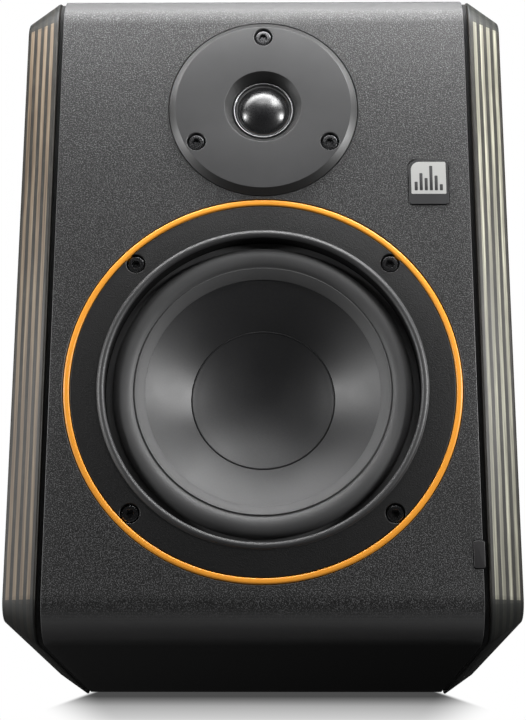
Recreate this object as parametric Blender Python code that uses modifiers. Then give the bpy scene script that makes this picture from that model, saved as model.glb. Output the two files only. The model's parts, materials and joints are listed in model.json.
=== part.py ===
"""Powered two-way bookshelf speaker: a black cabinet held between two plywood side panels.

Lengths are in metres. The front faces -Y and +Z is up. Most places are given as a depth,
measured back from the baffle's front plane, and a height above the underside.
"""
import math

import bmesh
import bpy
from mathutils import Vector

MM = 0.001

# Cabinet
HEIGHT = 0.283
BODY_HALF_WIDTH = 0.0864
BODY_DEPTH = 0.188
WALL = 0.015
FRONT_CORNER_RADIUS = 0.018
PANEL_GAP = 0.0022
PANEL_THICKNESS = 0.0144
PANEL_DEPTH = 0.208
PANEL_BEVEL = 0.0098
PANEL_REAR_RADIUS = 0.006
FACEPLATE_PROUD = 0.0023
FRONT_Y = -(PANEL_DEPTH - FACEPLATE_PROUD) / 2
PANEL_INNER_X = BODY_HALF_WIDTH + PANEL_GAP
PANEL_OUTER_X = PANEL_INNER_X + PANEL_THICKNESS
INNER_HALF_WIDTH = 0.074

# Running and resting clearances
GAP = 0.0003
OVERRUN = 0.001

# Woofer
WOOFER_HEIGHT = 0.1025
WOOFER_FLANGE_RADIUS = 0.0780
WOOFER_FLANGE_BACK = 0.0050
WOOFER_RECESS_DEPTH = 0.0053
TRIM_RING_INNER_RADIUS = 0.0783
TRIM_RING_RADIUS = 0.0808
WOOFER_CUTOUT_RADIUS = 0.0660
WOOFER_SCREW_OFFSET = 0.0525
CONE_NECK_RADIUS = 0.0133
CONE_EDGE_DEPTH = 0.0083
CONE_NECK_DEPTH = 0.0334
DUST_CAP_RADIUS = 0.0297
DUST_CAP_DEPTH = 0.0203
DUST_CAP_HOLLOW = 0.0070
POLE_RADIUS = 0.0120
GAP_PLATE_DEPTH = 0.0500

# Tweeter
TWEETER_HEIGHT = 0.2251
FACEPLATE_RADIUS = 0.0400
FACEPLATE_FLAT_RADIUS = 0.0372
FACEPLATE_BACK = 0.0017
TWEETER_CUTOUT_RADIUS = 0.0280
TWEETER_SCREW_CIRCLE = 0.0325
DOME_RADIUS = 0.0106
DOME_APEX_DEPTH = -0.0017
DOME_BASE_DEPTH = 0.0027

# Small things on the front
BADGE_CENTRE = (0.0693, 0.1910)
BADGE_SIZE = (0.0166, 0.0201)
WINDOW_X = (0.0827, 0.0872)
WINDOW_HEIGHTS = (0.0280, 0.0390)

# Rear panel
AMP_PLATE_HALF_WIDTH = 0.070
AMP_PLATE_HEIGHTS = (0.020, 0.190)
AMP_PLATE_FRONT = BODY_DEPTH + GAP
AMP_PLATE_BACK = AMP_PLATE_FRONT + 0.0025
FLANGE_FRONT = AMP_PLATE_BACK + GAP
FLANGE_BACK = FLANGE_FRONT + 0.0020
PORT_HEIGHT = 0.2350
PORT_RADIUS = 0.0200
PORT_FRONT = 0.0850
HEAT_SINK_HEIGHTS = (0.112, 0.180)
HEAT_SINK_FINS = 12
INLET_CENTRE = (-0.036, 0.051)
DRAWER_CENTRE = (-0.036, 0.0355)
ROCKER_CENTRE = (0.008, 0.046)
JACK_CENTRE = (0.044, 0.048)
LINE_JACK_CENTRE = (0.044, 0.086)
KNOB_CENTRE = (-0.036, 0.090)
TONE_CENTRE = (0.008, 0.090)
ROCKER_TILT = math.radians(10)
ROCKER_PIVOT_DEPTH = 0.1905

# Facet counts
LARGE_ROUND = 48
MEDIUM_ROUND = 24
SMALL_ROUND = 16
SCREW_ROUND = 12
CORNER_STEPS = 6

FACING_FRONT = (math.radians(90), 0, 0)
SIDE_PROFILE = (math.radians(90), 0, math.radians(90))

PARTS = "bookshelf_speaker"
CUTTERS = "cutters"


def start_afresh():
    """Empty the file and make the two collections."""
    for existing in list(bpy.data.objects):
        bpy.data.objects.remove(existing, do_unlink=True)
    for name in (PARTS, CUTTERS):
        collection = bpy.data.collections.get(name) or bpy.data.collections.new(name)
        if collection.name not in bpy.context.scene.collection.children:
            bpy.context.scene.collection.children.link(collection)


FINISHES = {
    "textured_black": ((0.030, 0.030, 0.032), 0.60, 0.0),
    "stained_plywood": ((0.160, 0.115, 0.080), 0.45, 0.0),
    "raw_board": ((0.350, 0.250, 0.160), 0.80, 0.0),
    "matte_black": ((0.018, 0.018, 0.020), 0.55, 0.0),
    "gloss_black": ((0.010, 0.010, 0.012), 0.15, 0.0),
    "orange": ((0.900, 0.330, 0.040), 0.40, 0.0),
    "rubber": ((0.020, 0.020, 0.022), 0.50, 0.0),
    "cone_paper": ((0.060, 0.060, 0.062), 0.60, 0.0),
    "copper": ((0.720, 0.330, 0.160), 0.30, 1.0),
    "bare_steel": ((0.500, 0.500, 0.510), 0.35, 1.0),
    "black_steel": ((0.030, 0.030, 0.032), 0.30, 1.0),
    "ferrite": ((0.060, 0.058, 0.056), 0.65, 0.0),
    "foam": ((0.080, 0.080, 0.085), 0.95, 0.0),
    "spider_cloth": ((0.520, 0.380, 0.180), 0.85, 0.0),
    "brushed_plate": ((0.640, 0.640, 0.650), 0.35, 1.0),
    "smoked_window": ((0.030, 0.026, 0.030), 0.12, 0.0),
    "lamp": ((0.700, 0.720, 0.700), 0.30, 0.0),
    "black_aluminium": ((0.030, 0.030, 0.032), 0.45, 1.0),
    "circuit_board": ((0.020, 0.140, 0.060), 0.45, 0.0),
    "white_plastic": ((0.700, 0.700, 0.680), 0.45, 0.0),
}


def make_material(name, finish):
    """A Principled material for one object."""
    colour, roughness, metallic = FINISHES[finish]
    material = bpy.data.materials.new(name)
    material.use_nodes = True
    shader = material.node_tree.nodes["Principled BSDF"]
    shader.inputs["Base Color"].default_value = (*colour, 1.0)
    shader.inputs["Roughness"].default_value = roughness
    shader.inputs["Metallic"].default_value = metallic
    return material


def add_object(name, mesh, finish, place=(0, 0, 0), turn=(0, 0, 0)):
    """Link a part, or a cutter when it has no finish."""
    made = bpy.data.objects.new(name, mesh)
    made.location = place
    made.rotation_euler = turn
    if finish:
        made.data.materials.append(make_material(name, finish))
        bpy.data.collections[PARTS].objects.link(made)
    else:
        made.hide_render = True
        made.display_type = "WIRE"
        bpy.data.collections[CUTTERS].objects.link(made)
    return made


def at(x, depth, height):
    """World place of a point given by its depth behind the baffle plane and its height."""
    return Vector((x, FRONT_Y + depth, height))


def mesh_from(name, shape):
    """Turn a bmesh into a mesh, with its faces pointing out."""
    bmesh.ops.recalc_face_normals(shape, faces=shape.faces[:])
    mesh = bpy.data.meshes.new(name)
    shape.to_mesh(mesh)
    shape.free()
    return mesh


def arc(centre, radius, start, end, steps):
    """Points of an arc, with its ends, angles in degrees."""
    points = []
    for step in range(steps + 1):
        angle = math.radians(start + (end - start) * step / steps)
        points.append((centre[0] + radius * math.cos(angle), centre[1] + radius * math.sin(angle)))
    return points


def turned(name, profile, finish, steps, place, turn=FACING_FRONT, closed=True):
    """A turned part from (radius, depth) points that run down its outer side, front to back.

    A closed profile makes a ring. An open one starts and ends on the axis.
    """
    shape = bmesh.new()
    points = [shape.verts.new((radius, 0, -depth)) for radius, depth in profile]
    for first, second in zip(points, points[1:]):
        shape.edges.new((first, second))
    if closed:
        shape.edges.new((points[-1], points[0]))
    mesh = bpy.data.meshes.new(name)
    shape.to_mesh(mesh)
    shape.free()
    made = add_object(name, mesh, finish, place, turn)
    screw = made.modifiers.new("turn", "SCREW")
    screw.steps = steps
    screw.render_steps = steps
    screw.use_merge_vertices = True
    screw.merge_threshold = 0.00001
    screw.use_smooth_shade = True
    return made


def ring(inner, outer, front, back):
    """The profile of a plain ring."""
    return [(inner, front), (outer, front), (outer, back), (inner, back)]


def disc(radius, front, back):
    """The open profile of a plain disc."""
    return [(0, front), (radius, front), (radius, back), (0, back)]


def block(name, xs, depths, heights, finish, bevel=0.0):
    """A box between two x values, two depths and two heights, with optional soft edges."""
    low = at(xs[0], depths[0], heights[0])
    high = at(xs[1], depths[1], heights[1])
    shape = bmesh.new()
    bmesh.ops.create_cube(shape, size=1.0)
    bmesh.ops.scale(shape, vec=high - low, verts=shape.verts[:])
    made = add_object(name, mesh_from(name, shape), finish, (low + high) / 2)
    if bevel:
        soften = made.modifiers.new("soft_edges", "BEVEL")
        soften.width = bevel
        soften.segments = 1
        soften.limit_method = "ANGLE"
    return made


def lofted(name, rings, finish, place, turn):
    """A closed solid through matching outlines, each given with its level along local Z."""
    shape = bmesh.new()
    loops = []
    for level, outline in rings:
        loops.append([shape.verts.new((u, v, level)) for u, v in outline])
    shape.faces.new(loops[0])
    shape.faces.new(loops[-1])
    count = len(loops[0])
    for lower, upper in zip(loops, loops[1:]):
        for index in range(count):
            following = (index + 1) % count
            shape.faces.new((lower[index], lower[following], upper[following], upper[index]))
    return add_object(name, mesh_from(name, shape), finish, place, turn)


def cut(target, cutter):
    """Take the cutter's shape out of the target."""
    step = target.modifiers.new("cut_" + cutter.name, "BOOLEAN")
    step.operation = "DIFFERENCE"
    step.solver = "EXACT"
    step.object = cutter


def drill(target, centre, radius, front, back, sides=SCREW_ROUND):
    """Bore the target straight back, between two depths."""
    shape = bmesh.new()
    bmesh.ops.create_cone(shape, cap_ends=True, segments=sides, radius1=radius, radius2=radius,
                          depth=back - front)
    place = at(centre[0], (front + back) / 2, centre[1])
    bore = add_object(target.name + "_bore", mesh_from("bore", shape), None, place, FACING_FRONT)
    cut(target, bore)


def pocket(target, xs, depths, heights, bevel=0.0):
    """Cut a box out of the target, and give back the cutter."""
    cutter = block(target.name + "_pocket", xs, depths, heights, None, bevel)
    cut(target, cutter)
    return cutter


def around(centre, radius, angles):
    """Points on a circle on the baffle, at angles in degrees from +X."""
    points = []
    for angle in angles:
        turn = math.radians(angle)
        points.append((centre[0] + radius * math.cos(turn), centre[1] + radius * math.sin(turn)))
    return points


def woofer_screw_points():
    """The four woofer screws, on the corners of a square."""
    circle = WOOFER_SCREW_OFFSET * math.sqrt(2)
    return around((0, WOOFER_HEIGHT), circle, (135, 45, 225, 315))


def tweeter_screw_points():
    """The three tweeter screws, one at the top."""
    return around((0, TWEETER_HEIGHT), TWEETER_SCREW_CIRCLE, (90, 210, 330))


def rounded_side(inset, front_radius, rear_radius):
    """The side panels' outline, as (depth, height) points, moved in by an inset."""
    near = inset
    far = PANEL_DEPTH - inset
    low = inset
    high = HEIGHT - inset
    outline = arc((near + front_radius, low + front_radius), front_radius, 180, 270, CORNER_STEPS)
    outline += arc((far - rear_radius, low + rear_radius), rear_radius, 270, 360, CORNER_STEPS)
    outline += arc((far - rear_radius, high - rear_radius), rear_radius, 0, 90, CORNER_STEPS)
    outline += arc((near + front_radius, high - front_radius), front_radius, 90, 180, CORNER_STEPS)
    return outline


def make_cabinet_wrap():
    """Baffle, top and underside in one piece, bent round the two front corners."""
    radius = FRONT_CORNER_RADIUS
    outline = [(BODY_DEPTH, 0)]
    outline += arc((radius, radius), radius, 270, 180, CORNER_STEPS)
    outline += arc((radius, HEIGHT - radius), radius, 180, 90, CORNER_STEPS)
    outline += [(BODY_DEPTH, HEIGHT), (BODY_DEPTH, HEIGHT - WALL), (WALL, HEIGHT - WALL)]
    outline += [(WALL, WALL), (BODY_DEPTH, WALL)]
    rings = [(-BODY_HALF_WIDTH, outline), (BODY_HALF_WIDTH, outline)]
    wrap = lofted("cabinet_wrap", rings, "textured_black", at(0, 0, 0), SIDE_PROFILE)

    through = WALL + OVERRUN
    woofer = (0, WOOFER_HEIGHT)
    drill(wrap, woofer, TRIM_RING_RADIUS + GAP, -OVERRUN, WOOFER_RECESS_DEPTH, LARGE_ROUND)
    drill(wrap, woofer, WOOFER_CUTOUT_RADIUS, 0, through, LARGE_ROUND)
    for point in woofer_screw_points():
        drill(wrap, point, 2.3 * MM, 3 * MM, through)

    tweeter = (0, TWEETER_HEIGHT)
    drill(wrap, tweeter, FACEPLATE_RADIUS + GAP, -OVERRUN, FACEPLATE_BACK + GAP, LARGE_ROUND)
    drill(wrap, tweeter, TWEETER_CUTOUT_RADIUS, 0, through, MEDIUM_ROUND)
    for point in tweeter_screw_points():
        drill(wrap, point, 2.0 * MM, OVERRUN, through)

    x, height = BADGE_CENTRE
    half_width = BADGE_SIZE[0] / 2 + GAP
    half_height = BADGE_SIZE[1] / 2 + GAP
    pocket(wrap, (x - half_width, x + half_width), (-OVERRUN, 0.6 * MM),
           (height - half_height, height + half_height))
    pocket(wrap, (WINDOW_X[0] - GAP, BODY_HALF_WIDTH + OVERRUN), (-OVERRUN, 3.3 * MM),
           (WINDOW_HEIGHTS[0] - GAP, WINDOW_HEIGHTS[1] + GAP))
    return wrap


def make_cabinet():
    """The wrap, the boards that close it at the sides and back, and the side panels."""
    make_cabinet_wrap()
    board_top = HEIGHT - WALL - GAP
    board_bottom = WALL + GAP
    board_front = WALL + GAP
    back_front = BODY_DEPTH - WALL
    for side, name in ((-1, "left"), (1, "right")):
        xs = sorted((side * INNER_HALF_WIDTH, side * (PANEL_INNER_X - GAP)))
        block(name + "_side_board", xs, (board_front, back_front - GAP),
              (board_bottom, board_top), "raw_board")
        front_radius = FRONT_CORNER_RADIUS
        inner = rounded_side(0, front_radius, PANEL_REAR_RADIUS)
        outer = rounded_side(PANEL_BEVEL, front_radius - PANEL_BEVEL, 2 * MM)
        rings = [(side * PANEL_INNER_X, inner), (side * PANEL_OUTER_X, outer)]
        lofted(name + "_side_panel", rings, "stained_plywood", at(0, 0, 0), SIDE_PROFILE)

    back_half_width = BODY_HALF_WIDTH
    back = block("back_board", (-back_half_width, back_half_width), (back_front, BODY_DEPTH),
                 (board_bottom, board_top), "textured_black")
    beyond = (back_front - OVERRUN, BODY_DEPTH + OVERRUN)
    pocket(back, (-60 * MM, 60 * MM), beyond, (30 * MM, 180 * MM))
    drill(back, (0, PORT_HEIGHT), PORT_RADIUS + 2.4 * MM, *beyond, MEDIUM_ROUND)
    for point in amp_plate_screw_points():
        drill(back, point, 2.0 * MM, back_front + 4 * MM, BODY_DEPTH + OVERRUN)

    block("acoustic_lining", (-70 * MM, 70 * MM), (30 * MM, 168 * MM),
          (258 * MM, HEIGHT - WALL - 0.6 * MM), "foam", 2 * MM)


def make_front_trim():
    """The badge, and the status lamp behind its window at the lower right edge."""
    x, height = BADGE_CENTRE
    half_width = BADGE_SIZE[0] / 2
    half_height = BADGE_SIZE[1] / 2
    block("badge", (x - half_width, x + half_width), (-0.6 * MM, GAP),
          (height - half_height, height + half_height), "brushed_plate", 0.3 * MM)
    block("status_window", WINDOW_X, (-0.2 * MM, 1.5 * MM), WINDOW_HEIGHTS, "smoked_window",
          0.4 * MM)
    block("status_led", (83.3 * MM, 85.7 * MM), (1.8 * MM, 3.0 * MM), (30.5 * MM, 36.5 * MM),
          "lamp")


def make_screw(name, point, head_front, head_radius, head_back, shank_radius, tip):
    """A socket-head screw driven straight back into the cabinet."""
    profile = [(0, head_front), (head_radius, head_front), (head_radius, head_back),
               (shank_radius, head_back), (shank_radius, tip), (0, tip)]
    place = at(point[0], 0, point[1])
    screw = turned(name, profile, "black_steel", SCREW_ROUND, place, closed=False)
    socket_radius = head_radius / 2
    drill(screw, point, socket_radius, head_front - OVERRUN, head_back - 0.6 * MM, 6)


def make_woofer_frame():
    """Cast frame in two solids: the flange with a rolled lip, and the basket behind it."""
    centre = at(0, 0, WOOFER_HEIGHT)
    lip_radius = 3.0 * MM
    lip_centre = (66.4 * MM, 0.2 * MM + lip_radius)
    lip = arc(lip_centre, lip_radius, 180, 270, 3)
    seam = 9.6 * MM
    flange = lip + [
        (WOOFER_FLANGE_RADIUS, 0.2 * MM), (WOOFER_FLANGE_RADIUS, WOOFER_FLANGE_BACK),
        (64.6 * MM, WOOFER_FLANGE_BACK), (64.6 * MM, seam), (60.4 * MM, seam),
        (60.4 * MM, 8.3 * MM), (63.4 * MM, 8.3 * MM)]
    frame = turned("woofer_frame", flange, "matte_black", LARGE_ROUND, centre)
    for point in woofer_screw_points():
        drill(frame, point, 4.0 * MM, -OVERRUN, 3.4 * MM, SMALL_ROUND)
        drill(frame, point, 2.3 * MM, 0, WOOFER_FLANGE_BACK + OVERRUN)
    wall = [
        (64.6 * MM, seam + GAP), (64.6 * MM, 12.0 * MM), (47.0 * MM, 38.0 * MM),
        (47.0 * MM, 49.7 * MM), (24.0 * MM, 49.7 * MM), (24.0 * MM, 45.5 * MM),
        (37.0 * MM, 43.0 * MM), (37.0 * MM, 40.9 * MM), (43.0 * MM, 40.9 * MM),
        (43.0 * MM, 36.4 * MM), (60.4 * MM, 10.6 * MM), (60.4 * MM, seam + GAP)]
    basket = turned("woofer_basket", wall, "matte_black", LARGE_ROUND, centre)
    for spoke in range(6):
        angle = math.radians(60 * spoke)
        window = block("frame_window", (30 * MM, 70 * MM), (17 * MM, 35 * MM),
                       (-15 * MM, 15 * MM), None)
        middle = 50 * MM
        window.location = at(middle * math.cos(angle), 26 * MM,
                             WOOFER_HEIGHT + middle * math.sin(angle))
        window.rotation_euler = (0, -angle, 0)
        cut(basket, window)


def make_spider():
    """Corrugated centring disc behind the cone."""
    inner = CONE_NECK_RADIUS
    outer = 42.7 * MM
    level = 40.2 * MM
    thickness = 0.4 * MM
    wave_start = 16 * MM
    wave_end = 36 * MM
    samples = 12
    front = [(inner, level)]
    for index in range(samples + 1):
        share = index / samples
        radius = wave_start + (wave_end - wave_start) * share
        front.append((radius, level - 0.9 * MM * math.sin(share * 3 * 2 * math.pi)))
    front.append((outer, level))
    back = [(radius, depth + thickness) for radius, depth in reversed(front)]
    turned("woofer_spider", front + back, "spider_cloth", MEDIUM_ROUND, at(0, 0, WOOFER_HEIGHT))


def make_woofer():
    """Five-inch driver, from its trim ring back to its magnet."""
    centre = at(0, 0, WOOFER_HEIGHT)
    turned("woofer_trim_ring", ring(TRIM_RING_INNER_RADIUS, TRIM_RING_RADIUS, -0.2 * MM, 5.0 * MM),
           "orange", LARGE_ROUND, centre)
    make_woofer_frame()
    roll = arc((56.6 * MM, 7.5 * MM), 4.0 * MM, 180, 360, 6)
    inside_roll = arc((56.6 * MM, 8.0 * MM), 3.6 * MM, 360, 180, 6)
    surround = [(48.0 * MM, 7.5 * MM)] + roll + [(63.1 * MM, 7.5 * MM), (63.1 * MM, 8.0 * MM)]
    surround += inside_roll + [(48.0 * MM, 8.0 * MM)]
    turned("woofer_surround", surround, "rubber", MEDIUM_ROUND, centre)

    cone = [(CONE_NECK_RADIUS, CONE_NECK_DEPTH), (48.0 * MM, CONE_EDGE_DEPTH),
            (52.3 * MM, CONE_EDGE_DEPTH), (52.3 * MM, CONE_EDGE_DEPTH + 0.6 * MM),
            (48.2 * MM, CONE_EDGE_DEPTH + 0.6 * MM), (CONE_NECK_RADIUS, CONE_NECK_DEPTH + 0.8 * MM)]
    turned("woofer_cone", cone, "cone_paper", MEDIUM_ROUND, centre)

    samples = 6
    cap = []
    for index in range(samples + 1):
        share = index / samples
        cap.append((DUST_CAP_RADIUS * share, DUST_CAP_DEPTH + DUST_CAP_HOLLOW * (1 - share ** 2)))
    cap += [(radius, depth + 0.6 * MM) for radius, depth in reversed(cap)]
    turned("woofer_dust_cap", cap, "cone_paper", MEDIUM_ROUND, centre, closed=False)

    coil = [(12.7 * MM, 30 * MM), (13.0 * MM, 30 * MM), (13.0 * MM, 48 * MM),
            (13.6 * MM, 48 * MM), (13.6 * MM, 60 * MM), (12.7 * MM, 60 * MM)]
    turned("woofer_voice_coil", coil, "copper", MEDIUM_ROUND, centre)
    make_spider()

    plate = GAP_PLATE_DEPTH
    turned("woofer_top_plate", ring(14.1 * MM, 36 * MM, plate, plate + 5 * MM), "bare_steel",
           MEDIUM_ROUND, centre)
    turned("woofer_magnet", ring(18 * MM, 40 * MM, plate + 5.3 * MM, plate + 20.3 * MM),
           "ferrite", MEDIUM_ROUND, centre)
    yoke = [(0, 48.5 * MM), (POLE_RADIUS, 48.5 * MM), (POLE_RADIUS, plate + 20.6 * MM),
            (36 * MM, plate + 20.6 * MM), (36 * MM, plate + 26.6 * MM), (0, plate + 26.6 * MM)]
    turned("woofer_yoke", yoke, "bare_steel", MEDIUM_ROUND, centre, closed=False)
    block("woofer_terminals", (-10 * MM, 10 * MM), (24 * MM, 36 * MM), (43 * MM, 45 * MM),
          "circuit_board")
    for number, point in enumerate(woofer_screw_points(), 1):
        make_screw(f"woofer_screw_{number}", point, 0.9 * MM, 3.4 * MM, 3.1 * MM, 1.9 * MM,
                   13.5 * MM)


def make_faceplate():
    """Proud round plate with a conical mouth round the dome."""
    front = -FACEPLATE_PROUD
    profile = [(16.35 * MM, front), (FACEPLATE_FLAT_RADIUS, front), (FACEPLATE_RADIUS, 0),
               (FACEPLATE_RADIUS, FACEPLATE_BACK), (27.5 * MM, FACEPLATE_BACK),
               (27.5 * MM, 4.0 * MM), (13.1 * MM, 4.0 * MM), (13.1 * MM, 2.1 * MM)]
    plate = turned("tweeter_faceplate", profile, "matte_black", LARGE_ROUND,
                   at(0, 0, TWEETER_HEIGHT))
    for point in tweeter_screw_points():
        drill(plate, point, 4.0 * MM, front - OVERRUN, 0.6 * MM, SMALL_ROUND)
        drill(plate, point, 1.9 * MM, front, 3 * MM)


def make_tweeter():
    """Soft-dome driver behind its faceplate."""
    centre = at(0, 0, TWEETER_HEIGHT)
    make_faceplate()
    rise = DOME_BASE_DEPTH - DOME_APEX_DEPTH
    sphere_radius = (DOME_RADIUS ** 2 + rise ** 2) / (2 * rise)
    half_angle = math.degrees(math.asin(DOME_RADIUS / sphere_radius))
    middle = DOME_APEX_DEPTH + sphere_radius
    outer = arc((0, middle), sphere_radius, 270, 270 + half_angle, 6)
    inner = arc((0, middle), sphere_radius - 0.35 * MM, 270 + half_angle, 270, 6)
    turned("tweeter_dome", [(0, outer[0][1])] + outer[1:] + inner[:-1] + [(0, inner[-1][1])],
           "gloss_black", MEDIUM_ROUND, centre, closed=False)
    turned("tweeter_surround", [(10.9 * MM, 3.2 * MM), (11.2 * MM, 2.5 * MM), (11.6 * MM, 2.5 * MM),
                                (11.9 * MM, 3.2 * MM), (12.9 * MM, 3.2 * MM), (12.9 * MM, 3.5 * MM),
                                (10.9 * MM, 3.5 * MM)], "rubber", MEDIUM_ROUND, centre)
    turned("tweeter_clamp_ring", ring(12.1 * MM, 12.8 * MM, 1.7 * MM, 2.9 * MM), "bare_steel",
           MEDIUM_ROUND, centre)
    turned("tweeter_coil", ring(10.0 * MM, 10.4 * MM, 3.4 * MM, 8.0 * MM), "copper",
           MEDIUM_ROUND, centre)
    turned("tweeter_top_plate", ring(10.9 * MM, 25 * MM, 4.3 * MM, 7.3 * MM), "bare_steel",
           MEDIUM_ROUND, centre)
    turned("tweeter_magnet", ring(14 * MM, 24 * MM, 7.6 * MM, 17.6 * MM), "ferrite",
           MEDIUM_ROUND, centre)
    yoke = [(0, 4.6 * MM), (9.6 * MM, 4.6 * MM), (9.6 * MM, 17.9 * MM), (22 * MM, 17.9 * MM),
            (22 * MM, 22.9 * MM), (0, 22.9 * MM)]
    turned("tweeter_yoke", yoke, "bare_steel", MEDIUM_ROUND, centre, closed=False)
    for number, point in enumerate(tweeter_screw_points(), 1):
        make_screw(f"tweeter_screw_{number}", point, -1.6 * MM, 3.3 * MM, 0.3 * MM, 1.6 * MM,
                   13 * MM)


def amp_plate_screw_points():
    """The four corner screws of the amplifier plate."""
    across = AMP_PLATE_HALF_WIDTH - 5 * MM
    low = AMP_PLATE_HEIGHTS[0] + 5 * MM
    high = AMP_PLATE_HEIGHTS[1] - 5 * MM
    return [(-across, low), (across, low), (-across, high), (across, high)]


def around_point(centre, half_width, half_height):
    """The x and height ranges of a rectangle about a centre."""
    return ((centre[0] - half_width, centre[0] + half_width),
            (centre[1] - half_height, centre[1] + half_height))


def make_port():
    """Bass-reflex tube with a flared mouth on the back."""
    inner = PORT_RADIUS
    outer = PORT_RADIUS + 2 * MM
    mouth = PORT_RADIUS + 8 * MM
    seat = BODY_DEPTH + GAP
    profile = [(inner, PORT_FRONT), (outer, PORT_FRONT), (outer, seat), (mouth, seat),
               (mouth, seat + 2 * MM), (inner + 4.5 * MM, seat + 2 * MM), (inner + 1.2 * MM, seat),
               (inner, seat - 4 * MM)]
    turned("port_tube", profile, "matte_black", MEDIUM_ROUND, at(0, 0, PORT_HEIGHT))


def make_amp_plate():
    """Aluminium rear plate with a hole for everything that it carries."""
    plate = block("amp_plate", (-AMP_PLATE_HALF_WIDTH, AMP_PLATE_HALF_WIDTH),
                  (AMP_PLATE_FRONT, AMP_PLATE_BACK), AMP_PLATE_HEIGHTS, "black_aluminium")
    beyond = (AMP_PLATE_FRONT - OVERRUN, AMP_PLATE_BACK + OVERRUN)
    xs, heights = around_point((INLET_CENTRE[0], 0.046), 14.8 * MM, 15.8 * MM)
    pocket(plate, xs, beyond, heights)
    xs, heights = around_point(ROCKER_CENTRE, 7.3 * MM, 11.3 * MM)
    pocket(plate, xs, beyond, heights)
    xs, heights = around_point(TONE_CENTRE, 4.6 * MM, 2.1 * MM)
    pocket(plate, xs, beyond, heights)
    drill(plate, JACK_CENTRE, 12.0 * MM, *beyond, MEDIUM_ROUND)
    drill(plate, LINE_JACK_CENTRE, 3.6 * MM, *beyond)
    drill(plate, KNOB_CENTRE, 3.9 * MM, *beyond)
    for number, point in enumerate(amp_plate_screw_points(), 1):
        drill(plate, point, 2.0 * MM, *beyond)
        profile = [(0, 178 * MM), (1.6 * MM, 178 * MM), (1.6 * MM, FLANGE_FRONT),
                   (3.3 * MM, FLANGE_FRONT), (2.9 * MM, FLANGE_FRONT + 1.8 * MM),
                   (0, FLANGE_FRONT + 1.8 * MM)]
        turned(f"amp_plate_screw_{number}", profile, "black_steel", SCREW_ROUND,
               at(point[0], 0, point[1]), closed=False)


def make_heat_sink():
    """Finned extrusion on the amplifier plate, its fins upright."""
    half_width = 58 * MM
    base_front = FLANGE_FRONT
    base_back = base_front + 3 * MM
    tip = base_front + 14 * MM
    fin = 1.8 * MM
    pitch = (2 * half_width - fin) / (HEAT_SINK_FINS - 1)
    outline = [(half_width, base_front), (-half_width, base_front)]
    for index in range(HEAT_SINK_FINS):
        left = -half_width + index * pitch
        if index:
            outline.append((left, base_back))
        outline.append((left, tip))
        outline.append((left + fin, tip))
        if index < HEAT_SINK_FINS - 1:
            outline.append((left + fin, base_back))
    rings = [(height, outline) for height in HEAT_SINK_HEIGHTS]
    lofted("heat_sink", rings, "black_aluminium", at(0, 0, 0), (0, 0, 0))


def make_mains_inlet():
    """Three-pin inlet with a slot below it, and the fuse drawer that slides out of the slot."""
    front = 165 * MM
    flange_xs, flange_heights = around_point((INLET_CENTRE[0], 0.046), 18 * MM, 20 * MM)
    inlet = block("mains_inlet", flange_xs, (FLANGE_FRONT, FLANGE_BACK), flange_heights,
                  "matte_black")
    body_xs, body_heights = around_point((INLET_CENTRE[0], 0.046), 14.4 * MM, 15.4 * MM)
    body = block("inlet_body", body_xs, (front, FLANGE_FRONT + OVERRUN), body_heights, None)
    joined = inlet.modifiers.new("body", "BOOLEAN")
    joined.operation = "UNION"
    joined.solver = "EXACT"
    joined.object = body
    xs, heights = around_point(INLET_CENTRE, 12.2 * MM, 8.3 * MM)
    cavity = pocket(inlet, xs, (176 * MM, FLANGE_BACK + OVERRUN), heights)
    for pin_x, pin_height in ((-7, -1.5), (0, 2.0), (7, -1.5)):
        pin = (INLET_CENTRE[0] + pin_x * MM, INLET_CENTRE[1] + pin_height * MM)
        pin_xs, pin_heights = around_point(pin, 1.0 * MM, 2.2 * MM)
        pocket(cavity, pin_xs, (175 * MM, 187 * MM), pin_heights)
    xs, heights = around_point(DRAWER_CENTRE, 12.0 * MM, 4.0 * MM)
    pocket(inlet, xs, (175 * MM, FLANGE_BACK + OVERRUN), heights)

    xs, heights = around_point(DRAWER_CENTRE, 11.6 * MM, 3.6 * MM)
    drawer = block("fuse_drawer", xs, (176 * MM, FLANGE_BACK + 0.8 * MM), heights, "matte_black")
    fuse_depths = (178.5 * MM, 184.5 * MM)
    xs, heights = around_point(DRAWER_CENTRE, 10.6 * MM, 2.9 * MM)
    pocket(drawer, xs, fuse_depths, (heights[0], heights[1] + 2 * MM))
    place = at(DRAWER_CENTRE[0] - 10 * MM, sum(fuse_depths) / 2, DRAWER_CENTRE[1])
    turned("fuse", disc(2.4 * MM, -20 * MM, 0), "bare_steel", SCREW_ROUND, place,
           (0, math.radians(90), 0), closed=False)


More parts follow.
